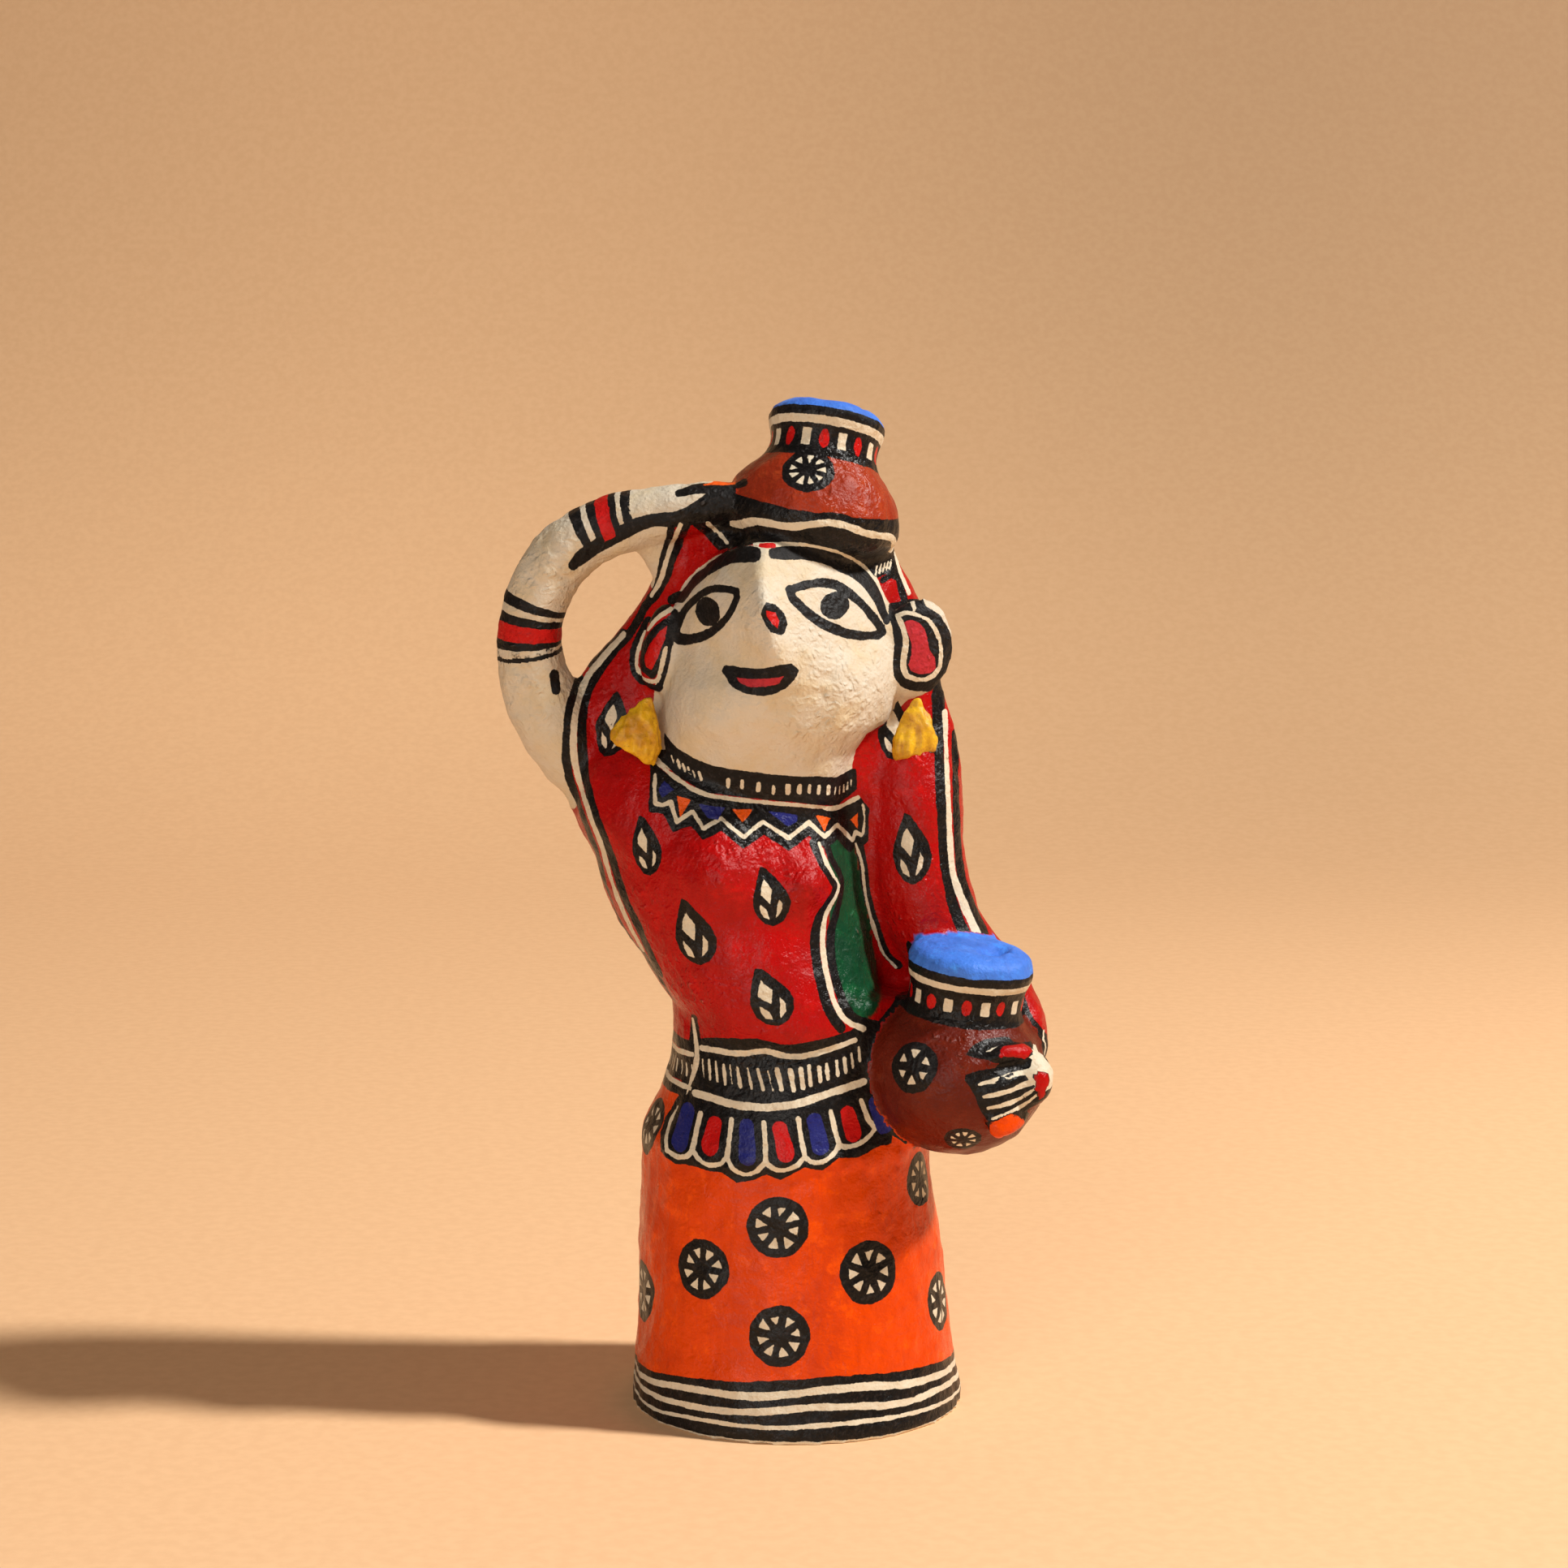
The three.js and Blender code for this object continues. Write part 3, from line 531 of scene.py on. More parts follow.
brush("chalk", [(4.7, 126.2, 0.35), (5.9, 122.8, 0.45), (7.6, 119.6, 0.35), (8.9, 117.0, 0.3),
    (8.1, 114.6, 0.35), (6.4, 111.8, 0.5), (5.5, 107.9, 0.6), (5.5, 103.3, 0.65), (6.5, 98.1, 0.6),
    (8.2, 92.3, 0.6), (10.8, 88.6, 0.6), (14.2, 86.8, 0.6)])
brush("ink", [(13.0, 126.0), (14.2, 120.0), (14.9, 114.3), (16.0, 109.4), (17.6, 104.0), (19.6, 99.0),
    (22.2, 96.4)], 0.7)
brush("chalk", [(12.6, 124.5, 0.2), (14.0, 119.9, 0.3), (14.6, 114.3, 0.3), (15.5, 109.6, 0.35),
    (17.0, 104.3, 0.35), (18.8, 99.4, 0.3), (21.6, 96.0, 0.3)])

# Drops on the red cloth: point up, three cream cells
dropShape = [
    ("ink", [(-0.64, 1.80), (-0.35, 1.72), (0.20, 1.18), (0.72, 0.62), (0.98, 0.10), (0.95, -0.45),
             (0.66, -0.95), (0.20, -1.18), (-0.30, -1.08), (-0.72, -0.66), (-0.98, -0.12),
             (-0.98, 0.34), (-0.84, 0.95)], None),
    ("chalk", [(-0.44, 1.22), (0.02, 0.66), (-0.04, -0.08), (-0.64, 0.38), (-0.60, 0.86)], None),
    ("chalk", [(0.36, 0.26), (0.62, -0.08), (0.60, -0.50), (0.30, -0.84), (0.36, -0.10)], None),
    ("chalk", [(-0.62, -0.14), (-0.22, -0.44), (-0.02, -0.90), (-0.40, -0.78), (-0.58, -0.46)], None),
]
drops = [   # x, z, half width, height scale, lean to the right in degrees
    (-31.8, 124.6, 3.5, 4.1, 0), (-21.6, 106.8, 4.7, 4.7, 0), (-5.5, 114.8, 3.9, 4.1, 4),
    (-5.2, 93.8, 4.5, 4.1, -4), (24.6, 122.4, 4.1, 4.9, 6), (-39.6, 148.6, 4.0, 4.4, 16),
    (21.4, 147.6, 3.9, 4.3, 8),
]
for x, z, half, tall, lean in drops:
    point, normal = frontPoint(x, z)
    decal(dropShape, point, normal, lean, (half, tall))

# Belt, then the scalloped petals under it
beltArea = [(-21.9, 88.0), (-21.4, 83.4), (-17.0, 84.4), (-13.2, 85.0), (-8.5, 85.4), (-3.1, 84.3),
    (1.8, 84.8), (6.6, 85.5), (11.5, 86.6), (15.0, 88.8), (22.0, 86.0), (20.0, 62.0), (17.6, 62.2),
    (12.7, 60.5), (8.9, 60.9), (5.2, 58.3), (1.5, 59.2), (-3.6, 56.2), (-6.5, 57.5), (-9.4, 56.0),
    (-12.8, 55.4), (-15.7, 57.2), (-18.2, 57.2), (-22.2, 57.9), (-25.9, 57.5), (-29.1, 58.9), (-29.2, 62.6),
    (-27.6, 67.0), (-24.4, 72.0), (-23.4, 78.0), (-22.9, 84.0)]
patch("ink", beltArea, reach=14.0)
beltPlan = {
    "topLine": [(-20.4, 81.7), (-16.6, 81.8), (-13.2, 81.6), (-9.9, 82.0), (-6.9, 82.6), (-3.6, 81.8),
                (0.2, 81.5), (3.5, 82.1), (7.7, 83.2), (12.3, 84.5)],
    "lowLine": [(-21.9, 72.2), (-17.9, 71.9), (-13.2, 71.1), (-5.7, 71.1), (1.0, 72.2), (6.9, 73.8),
                (14.2, 75.6)],
    "ticks": [(-20.1, 77.5, 0.15), (-18.7, 77.6, 0.3), (-17.2, 77.4, 0.3), (-15.5, 77.0, 0.35),
              (-14.1, 77.2, 0.12), (-12.4, 76.7, 0.35), (-10.1, 76.7, 0.3), (-7.8, 76.6, 0.35),
              (-5.7, 76.5, 0.15), (-3.8, 76.8, 0.55), (-1.1, 76.6, 0.55), (1.0, 77.0, 0.5),
              (2.7, 77.6, 0.4), (4.8, 77.8, 0.45), (6.4, 78.3, 0.45), (8.5, 78.9, 0.35),
              (10.2, 79.4, 0.35), (11.7, 80.3, 0.25), (13.2, 81.6, 0.3)],
}
brush("chalk", beltPlan["topLine"], 0.62)
brush("chalk", beltPlan["lowLine"], 0.78)
for x, z, half in beltPlan["ticks"]:
    lean = 0.45 * math.exp(-((x + 6.5) / 6.0) ** 2) + 0.15
    tall = 2.0 if x < 4 else 1.5
    brush("chalk", [(x - lean, z + tall, half), (x + lean, z - tall, half)])
brush("ink", [(-22.0, 88.4, 0.6), (-21.9, 83.0, 1.2), (-21.9, 79.5, 1.3), (-22.9, 75.5, 1.3),
    (-24.4, 71.3, 1.1)])
brush("topChalk", [(-22.4, 87.8, 0.25), (-21.7, 82.8, 0.5), (-21.5, 79.5, 0.6), (-22.4, 75.5, 0.5),
    (-23.9, 71.0, 0.2)])
for turn0, turn1, level, half in [(-112, -52, 81.6, 1.0), (-112, -52, 76.4, 2.6), (-112, -50, 72.0, 1.0)]:
    ring("ink", [(turn0, level), (0.5 * (turn0 + turn1), level), (turn1, level)], half)
ring("chalk", [(-112, 79.6), (-80, 79.5), (-56, 79.9)], 0.55)
ring("chalk", [(-112, 73.4), (-80, 73.2), (-54, 72.8)], 0.55)
for turn in range(-110, -54, 5):
    ring("chalk", [(turn - 0.8, 77.6), (turn + 0.8, 75.2)], 0.3)

brush("chalk", [(-25.6, 68.6, 0.2), (-27.3, 65.0, 0.3), (-28.2, 61.7, 0.4), (-27.9, 59.6, 0.5)])
for line in [[(-20.6, 68.4), (-21.4, 65.4), (-22.3, 61.2)], [(-14.0, 68.1), (-14.4, 64.0), (-14.9, 60.4)],
             [(-7.1, 68.0), (-6.8, 63.7), (-6.7, 60.1)], [(0.2, 68.9), (0.9, 64.5), (1.6, 61.3)],
             [(7.1, 70.1), (8.1, 65.8), (8.9, 63.3)], [(13.6, 71.7), (15.2, 67.5), (16.6, 65.7)]]:
    brush("chalk", line, 0.55)
brush("chalk", [(-28.1, 59.8), (-25.6, 58.9), (-23.2, 59.8), (-22.3, 61.0), (-21.2, 59.6), (-18.7, 58.3),
    (-16.2, 59.0), (-15.0, 60.4), (-13.8, 58.4), (-11.2, 57.0), (-8.4, 58.0), (-6.7, 60.1), (-5.6, 59.0),
    (-3.2, 58.2), (0.2, 59.6), (1.6, 61.2), (2.8, 60.2), (5.2, 60.0), (7.9, 61.6), (8.9, 63.1),
    (10.2, 62.6), (12.7, 62.9), (15.4, 64.2), (16.7, 65.6)], 0.5)
petalColours = [("navy", (-23.4, 68.4), (-25.2, 61.9)), ("scarlet", (-17.6, 66.8), (-18.6, 62.2)), ("navy",
    (-10.7, 66.9), (-10.6, 60.9)), ("scarlet", (-3.6, 66.9), (-2.4, 61.9)), ("navy", (3.6, 68.4),
    (5.0, 63.2)), ("scarlet", (10.7, 69.5), (11.9, 65.2)), ("navy", (16.8, 71.0), (18.6, 66.0))]
for colour, top, low in petalColours:
    brush("accent", [(*top, 1.6), (*low, 1.85)], colour=colour)

# Raised arm: two groups of bands, and the black line that becomes the pot's shadow edge
lowerBands = [("ink", 0.0, 0.75), ("ink", 3.3, 0.75), ("accent", 5.6, 1.7), ("ink", 8.1, 0.8),
    ("ink", 11.4, 0.8)]
upperBands = [("ink", 0.0, 0.75), ("ink", 3.2, 0.75), ("accent", 5.2, 1.4), ("ink", 7.4, 0.75),
    ("ink", 10.3, 0.7)]
bandStarts = {"lower": 39.6, "upper": 70.3}
# the upper bands end on it
underArm = {"x": [-47.6, -43.5, -35.9, -29.9], "z": [184.5, 188.0, 192.2, 194.5]}
brush("ink", [(-47.6, 184.5, 0.9), (-46.1, 186.1, 1.35), (-43.5, 188.0, 1.4), (-39.7, 190.3, 1.4),
    (-35.9, 192.2, 1.4), (-32.9, 193.7, 1.3), (-29.9, 194.5, 1.3), (-26.2, 194.5, 1.5), (-22.8, 195.3, 1.9),
    (-19.1, 197.2, 2.2), (-16.1, 199.0, 2.4)])
brush("ink", [(-25.1, 200.0, 0.6), (-22.8, 200.6, 0.8), (-20.2, 201.1, 0.9), (-17.2, 201.0, 1.0),
    (-14.3, 200.6, 1.2)])
brush("ink", [(-22.9, 202.6, 0.35), (-19.2, 203.7, 0.5), (-13.6, 204.4, 0.7)])
patch("accent", [(-19.9, 201.7), (-16.2, 202.9), (-12.9, 203.7), (-13.0, 201.7)], "tangerine")

# Hand on the hip pot: a black leaf under a pointed thumb, four tapered fingers and a striped cuff
patch("ink", [(35.6, 83.6), (37.1, 85.1), (39.7, 85.9), (42.5, 86.2), (44.5, 85.8), (45.6, 84.8),
    (50.4, 83.6), (52.8, 82.4), (54.6, 80.4), (55.6, 77.6), (54.4, 75.2), (51.6, 73.2), (50.2, 72.2),
    (47.8, 70.3), (44.2, 69.4), (41.5, 68.9), (39.9, 70.0), (38.5, 72.4), (37.6, 75.1), (36.6, 76.8),
    (35.3, 78.4), (35.5, 79.4), (38.5, 80.1), (41.8, 80.7), (43.0, 81.6), (41.0, 82.4), (38.0, 82.9)],
    on="hip")
patch("chalk", [(50.4, 83.2), (52.4, 81.6), (54.2, 79.4), (54.8, 77.6), (54.2, 76.0), (52.2, 75.2),
    (50.6, 76.3), (49.7, 76.9), (48.7, 78.1), (47.9, 79.2), (49.2, 80.4), (49.7, 81.8)], on="hip")
for line in [[(39.9, 84.0, 0.1), (42.2, 84.5, 0.5), (45.0, 84.3, 0.65), (48.2, 83.6, 0.85),
        (51.2, 82.2, 1.2)], [(38.3, 77.5, 0.3), (41.5, 78.2, 0.5), (45.1, 79.0, 0.5), (48.4, 79.4, 0.6),
        (51.4, 79.6, 0.9)], [(39.2, 74.9, 0.45), (42.5, 75.5, 0.55), (46.1, 76.2, 0.55), (49.1, 77.2, 0.55),
        (51.4, 78.0, 0.5)], [(40.2, 72.4, 0.35), (43.5, 73.0, 0.5), (47.2, 73.9, 0.45), (49.6, 75.7, 0.4),
        (51.6, 76.9, 0.4)], [(41.0, 70.1, 0.3), (44.3, 71.0, 0.45), (47.7, 72.2, 0.42), (50.1, 74.2, 0.35),
        (52.2, 75.9, 0.4)]]:
    brush("chalk", line, on="hip")
brush("ink", [(52.6, 83.6), (54.6, 81.4), (56.0, 78.6)], 0.6, on="all")
brush("chalk", [(53.3, 84.0), (55.2, 81.8), (56.6, 79.2)], 0.22, on="all")
brush("ink", [(54.2, 84.6), (56.0, 82.6), (57.2, 80.0)], 0.4, on="all")

# Wheels: a black disc with a ring of cream wedges
wheels = [   # x, z, radius, wedges and first turn
    (-4.2, 46.0, 6.4, 8, 10), (-20.3, 35.8, 6.2, 8, 24), (15.5, 35.4, 6.7, 8, 2), (-3.8, 22.9, 6.4, 8, 32),
    (-33.4, 26.1, 6.6, 8, 12), (31.2, 24.4, 6.2, 8, 20), (-31.8, 62.8, 6.0, 8, 5), (26.6, 52.0, 5.7, 8, 30),
    (24.4, 80.6, 5.3, 6, 0), (35.1, 64.4, 3.8, 8, 14), (2.2, 205.3, 5.4, 9, 8),
]


def wheelShape(wedges, first, seed):
    wobble = [0.05 * noise.noise(Vector((seed * 1.7, k * 0.9, 0.3))) for k in range(40)]
    rim = [((1 + wobble[k]) * math.sin(k * math.tau / 20), (1 + wobble[k]) * math.cos(k * math.tau / 20))
        for k in range(20)]
    parts = [("ink", rim, None)]
    for k in range(wedges):
        turn = math.radians(first + 360 * k / wedges + 60 * wobble[k + 10])
        spread = math.pi / wedges * (0.58 + 2.0 * wobble[k + 20])
        inner = 0.33 + abs(wobble[k + 25])
        outer = 0.74 + 2.0 * wobble[k + 5]
        parts.append(("chalk", [(inner * math.sin(turn), inner * math.cos(turn)),
            (outer * math.sin(turn + spread), outer * math.cos(turn + spread)),
            (0.96 * outer * math.sin(turn - spread), 0.96 * outer * math.cos(turn - spread))], None))
    return parts


for seed, (x, z, radius, wedges, first) in enumerate(wheels):
    point, normal = frontPoint(x, z)
    decal(wheelShape(wedges, first, seed), point, normal, 0.0, (radius, radius))
sideWheels = {"radius": 5.8, "spots": [(128, 44), (164, 26), (196, 50), (232, 30), (252, 50), (146, 60),
    (214, 60)]}
for seed, (turn, z) in enumerate(sideWheels["spots"]):   # turn and height round the body
    out = Vector((math.sin(math.radians(turn)), -math.cos(math.radians(turn)), 0.0))
    hit = surfaceTree.ray_cast(out * 90.0 + Vector((0, 0, z)), -out)
    decal(wheelShape(8, 11 * seed, seed + 30), hit[0], hit[1], 0.0, (sideWheels["radius"],) * 2)
# x, z and half width
backDrops = [(-22, 150, 4.2), (14, 158, 4.2), (-4, 128, 4.4), (24, 118, 4.2), (-26, 112, 4.2), (2, 98, 4.2),
    (-6, 178, 4.0)]
for x, z, half in backDrops:
    hit = surfaceTree.ray_cast(Vector((x, 90.0, z)), Vector((0, -1, 0)))
    decal(dropShape, hit[0], hit[1], 0.0, (half, 1.08 * half))
# Hem of the veil across the back
veilHem = [(94, 76.5), (130, 74.6), (180, 74.2), (230, 74.6), (266, 76.5)]
ring("ink", veilHem, 2.3)
ring("chalk", veilHem, 0.8)
print("drawn:", len(strokes), "strokes,", len(patches), "patches,", len(decals), "decals")


# ---- from drawing to values at points ----

layers = ["cream", "ink", "chalk", "accent", "topChalk"]
farAway = 6.0   # the distance given where a layer has nothing near
partReach = {"pot": 0.9, "hand": 1.3}   # how far outside its rough shape a point still belongs to a part
potPaint = {   # heights in the pot's own frame: where the blue starts, the rings, and the row of beads
    "head": {"sky": 20.8, "rings": [("ink", 15.6, 3.4), ("ink", 20.6, 0.9), ("chalk", 18.9, 0.85)],
             "beads": (15.4, 1.0, 1.6)},
    "hip": {"sky": 22.8, "rings": [("ink", 16.9, 4.0), ("ink", 22.6, 0.9), ("chalk", 21.0, 0.75)],
            "beads": (16.9, 1.0, 1.5)},
}
beadCount = 19
rimTop = 13.4   # height of the skirt's black rim in front
rimStripes = [(-2.0, 0.7), (3.4, 4.4), (6.4, 7.9), (9.9, 11.6)]   # height of the cream bands in front


def segmentDistance(points, stroke):
    best = np.full(len(points), 1e9)
    metric = stroke["metric"]
    for a, b in zip(stroke["start"], stroke["end"]):
        span = (b[:3] - a[:3]) * metric
        length = span @ span
        offset = (points - a[:3]) * metric
        share = np.clip(offset @ span / length, 0.0, 1.0) if length > 1e-9 else np.zeros(len(points))
        gap = np.linalg.norm(offset - share[:, None] * span, axis=1) - (a[3] + share * (b[3] - a[3]))
        best = np.minimum(best, gap)
    return best


def paintValues(points, normals):
    # Signed distance in millimetres to the edge of each layer of paint, with the ground and accent colours.
    count = len(points)
    values = {layer: np.full(count, farAway) for layer in layers}
    accentColour = np.tile(paintBox["scarlet"][:3], (count, 1))
    x, y, z = points.T

    def lay(layer, index, gap, colour=None):
        before = values[layer][index]
        if colour is not None:
            nearer = index[gap < before]
            accentColour[nearer] = paintBox[colour][:3]
        values[layer][index] = np.minimum(before, gap)

    # Which part each point is on
    ground = np.tile(paintBox["red"][:3], (count, 1))
    turn = np.degrees(np.arctan2(x, -y))
    ground[z < 71.5] = paintBox["orange"][:3]
    front = (y < 2) & (normals[:, 1] < 0.2)
    panel = outlineDistance(points[:, [0, 2]], np.array(greenPanel))
    ground[(panel < 0) & front & (y < -4)] = paintBox["green"][:3]
    armGap = np.full(count, 9.0)
    armAlong = np.zeros(count)
    leftTop = np.nonzero((x < -8) & (z > 118))[0]
    armGap[leftTop], armAlong[leftTop] = chainGap(points[leftTop], raisedArmLine)
    filletGap = chainGap(points, armFillet)[0]
    handGap = chainGap(points, hipHand)[0]
    headTurn, headHeight, headGap = potFrame(points, potShapes["head"])
    hipTurn, hipHeight, hipGap = potFrame(points, potShapes["hip"])
    onHead = (headGap < partReach["pot"]) & (z > 182) & (x > -15.5)
    onHand = handGap < partReach["hand"]
    onHip = (hipGap < partReach["pot"]) | onHand
    allowed = {"body": ~onHip, "hip": onHip, "all": np.ones(count, bool)}

    # Cream ground: raised arm, face, right ear
    border = np.interp(z, [b[0] for b in armBorder], [b[1] for b in armBorder])
    arm = np.maximum(np.minimum(armGap, filletGap) - 1.4, x - border)
    arm = np.where(z < 126, farAway, arm)
    face = outlineDistance(points[:, [0, 2]], np.array(faceOutline))
    face = np.maximum(face, y + 3.0)
    ear = np.linalg.norm((points - np.array((25.6, -5, 166.2))) / np.array((9.1, 4.6, 12.0)), axis=1) * 6 - 6
    ear = np.maximum(ear, 19.0 - x)
    values["cream"] = np.minimum.reduce([arm, face, ear, np.full(count, farAway)])

    # Pots
    wave = -1.6 + 1.3 * np.sin(np.radians(2.2 * headTurn + 30)) + 0.5 * np.sin(np.radians(7 * headTurn))
    ground[onHead] = paintBox["brown"][:3]
    ground[onHip] = paintBox["hipBrown"][:3]
    ground[onHead & (headHeight > potPaint["head"]["sky"])] = paintBox["sky"][:3]
    ground[onHip & (hipHeight > potPaint["hip"]["sky"])] = paintBox["sky"][:3]
    values["cream"][onHead | onHip] = farAway
    headPoints = np.nonzero(onHead)[0]
    hipPoints = np.nonzero(onHip & ~onHand)[0]
    height = headHeight[headPoints]
    lay("ink", headPoints, height - wave[headPoints] - 2.0)
    lay("chalk", headPoints, np.abs(height - wave[headPoints]) - 0.75)
    for name, index, around, height in [("head", headPoints, headTurn, headHeight),
                                        ("hip", hipPoints, hipTurn, hipHeight)]:
        for layer, level, half in potPaint[name]["rings"]:
            lay(layer, index, np.abs(height[index] - level) - half)
        level, half, tall = potPaint[name]["beads"]
        for k in range(beadCount):
            middle = -172 + k * 360 / beadCount
            away = (around[index] - middle + 180) % 360 - 180
            across = np.abs(away) * math.radians(1) * 12.0
            if k % 2:
                bead = np.hypot(across / (half + 0.1), (height[index] - level) / (tall + 0.2)) - 1
                lay("accent", index, bead, "scarlet")
            else:
                lay("chalk", index, np.maximum(across - half, np.abs(height[index] - level) - tall))

    # Contour where the hip pot meets the body
    besidePot = np.nonzero(~onHip & (hipGap < 4) & (hipHeight > -16) & (hipHeight < 25))[0]
    lay("ink", besidePot, hipGap[besidePot] - 2.2)

    # Bands round the raised arm
    for name, bands in [("lower", lowerBands), ("upper", upperBands)]:
        beside = np.abs(armAlong - bandStarts[name] - 5.5) < 9
        index = np.nonzero((armGap < 1.6) & beside & (x < border - 0.5))[0]
        if name == "upper":
            index = index[z[index] > np.interp(x[index], underArm["x"], underArm["z"])]
        for layer, middle, half in bands:
            lay(layer, index, np.abs(armAlong[index] - bandStarts[name] - middle) - half,
                "scarlet" if layer == "accent" else None)

    # Striped rim of the skirt, lower at the sides than in front
    low = np.nonzero(z < 22)[0]
    facing = np.clip(np.cos(np.radians(turn[low])), -0.1, 1.0)
    swing = 0.72 + 0.28 * facing + 0.06 * np.sin(np.radians(turn[low])) * (facing > 0)
    wander = 0.35 * np.sin(np.radians(3.1 * turn[low] + 40)) + 0.2 * np.sin(np.radians(7.3 * turn[low]))
    level = (z[low] - wander * smoothStep(z[low], 0.5, 4.0)) / swing
    lay("ink", low, level - rimTop)
    for bottom, top in rimStripes:
        sway = 0.3 * np.sin(np.radians(5.3 * turn[low] + 70 * bottom)) if bottom > 0 else 0.0
        lay("chalk", low, np.abs(level - sway - 0.5 * (bottom + top)) - 0.5 * (top - bottom))

    # Strokes, patches and decals
    for stroke in strokes:
        both = np.vstack([stroke["start"][:, :3], stroke["end"][:, :3]])
        margin = 4.0
        near = np.all((points > both.min(axis=0) - margin) & (points < both.max(axis=0) + margin), axis=1)
        index = np.nonzero(near & allowed[stroke["on"]])[0]
        if len(index):
            lay(stroke["layer"], index, segmentDistance(points[index], stroke), stroke["colour"])
    for shape in patches:
        corners = shape["outline"]
        box = (x > corners[:, 0].min() - 4) & (x < corners[:, 0].max() + 4) & (z > corners[:, 1].min() - 4)
        box &= (z < corners[:, 1].max() + 4) & (normals[:, 1] < 0.25)
        box &= np.abs(y - shape["depth"]) < shape["reach"]
        index = np.nonzero(box & allowed[shape["on"]])[0]
        if len(index):
            gap = outlineDistance(points[index][:, [0, 2]], corners) - shape["grow"]
            lay(shape["layer"], index, gap, shape["colour"])
    for motif in decals:
        offset = points - motif["point"]
        reach = 2.2 * max(motif["scale"]) + 2
        near = (np.linalg.norm(offset, axis=1) < reach) & (normals @ motif["normal"] > 0.15)
        near &= np.abs(offset @ motif["normal"]) < 0.9 * max(motif["scale"])
        index = np.nonzero(near)[0]
        flat = np.stack([offset[index] @ motif["side"], offset[index] @ motif["up"]],
            axis=1) / np.array(motif["scale"])
        for layer, outline, colour in motif["parts"]:
            lay(layer, index, outlineDistance(flat, np.array(outline)) * min(motif["scale"]), colour)
    return values, ground, accentColour


# ---- finer faces along the painted edges ----

def refine(piece, budget):
    mesh = piece.data
    points = places(mesh)
    normals = directions(mesh)
    edges = np.empty(len(mesh.edges) * 2, int)
    mesh.edges.foreach_get("vertices", edges)
    edges = edges.reshape(-1, 2)
    values = paintValues(points, normals)[0]
    wanted = np.zeros(len(edges))
    near = np.zeros(len(edges), bool)
    for layer in layers:
        ends = values[layer][edges]
        near |= np.abs(ends).min(axis=1) < 1.3
    index = np.nonzero(near)[0]
    middle = points[edges[index]].mean(axis=1)
    middleValues = paintValues(middle, normals[edges[index, 0]])[0]
    for layer in layers:
        error = np.abs(middleValues[layer] - values[layer][edges[index]].mean(axis=1))
        error = np.where(np.abs(middleValues[layer]) < 0.9, error, 0.0)
        wanted[index] = np.maximum(wanted[index], error)
    length = np.linalg.norm(points[edges[:, 0]] - points[edges[:, 1]], axis=1)
    wanted[length < 0.4] = 0.0
    order = np.argsort(-wanted)[:budget]
    chosen = set(order[wanted[order] > 0.06].tolist())
    work = bmesh.new()
    work.from_mesh(mesh)
    work.edges.ensure_lookup_table()
    bmesh.ops.subdivide_edges(work, edges=[work.edges[i] for i in chosen], cuts=1)
    bmesh.ops.triangulate(work, faces=work.faces)
    work.to_mesh(mesh)
    work.free()
    mesh.update()


triangles = bmesh.new()
triangles.from_mesh(figure.data)
bmesh.ops.triangulate(triangles, faces=triangles.faces)
triangles.to_mesh(figure.data)
triangles.free()
figure.data.update()
for stage in range(2):
    refine(figure, surfaceSettings["edgeCuts"])
    print("refined:", len(figure.data.polygons), "faces")

finalValues, groundColour, accentColour = paintValues(places(figure.data), directions(figure.data))


def keepNumbers(mesh, name, numbers):
    mesh.attributes.new(name, "FLOAT", "POINT").data.foreach_set("value", numbers)


def keepColours(mesh, name, colours):
    full = np.hstack([colours, np.ones((len(colours), 1))])
    mesh.attributes.new(name, "FLOAT_COLOR", "POINT").data.foreach_set("color", full.ravel())


for layer in layers:
    keepNumbers(figure.data, layer, finalValues[layer])
# The wrinkled spots steer both the bump and the highlight painted into the colour.
keepNumbers(figure.data, "crinkle_and_sheen", crinkleAndSheenAt(places(figure.data)))
keepNumbers(figure.data, "matt", (groundColour[:, 2] > 0.3).astype(float))
keepColours(figure.data, "ground", groundColour)
keepColours(figure.data, "accentColour", accentColour)
figure.data.polygons.foreach_set("use_smooth", [True] * len(figure.data.polygons))
print("figure painted")


# ---- materials ----

def addNode(tree, kind, settings=None, **inputs):
    node = tree.nodes.new(kind)
    for key, value in (settings or {}).items():
        setattr(node, key, value)
    for key, value in inputs.items():
        numbered = key[0] == "i" and key[1:].isdigit()   # i0, i1 and so on are sockets by their number
        socket = node.inputs[int(key[1:]) if numbered else key.replace("_", " ")]
        if isinstance(value, bpy.types.NodeSocket):
            tree.links.new(value, socket)
        else:
            socket.default_value = value
    return node


def sums(tree, operation, first, second, third=None):
    settings = {"operation": operation}
    inputs = {"i0": first, "i1": second}
    if third is not None:
        inputs["i2"] = third
    return addNode(tree, "ShaderNodeMath", settings, **inputs).outputs[0]


def blendColours(tree, share, first, second, how="MIX"):
    node = tree.nodes.new("ShaderNodeMix")
    node.data_type = "RGBA"
    node.blend_type = how
    for socket, value in ((node.inputs[0], share), (node.inputs[6], first), (node.inputs[7], second)):
        if isinstance(value, bpy.types.NodeSocket):
            tree.links.new(value, socket)
        else:
            socket.default_value = value
    return node.outputs[2]


def ramp(tree, value, low, high, out0=0.0, out1=1.0):
    return addNode(tree, "ShaderNodeMapRange", {"interpolation_type": "SMOOTHSTEP"}, i0=value, i1=low,
            i2=high, i3=out0, i4=out1).outputs[0]


def noiseValue(tree, vector, scale, detail=3.0, roughness=0.5, kind="FBM"):
    return addNode(tree, "ShaderNodeTexNoise", {"noise_type": kind}, Vector=vector, Scale=scale,
            Detail=detail, Roughness=roughness).outputs["Fac"]


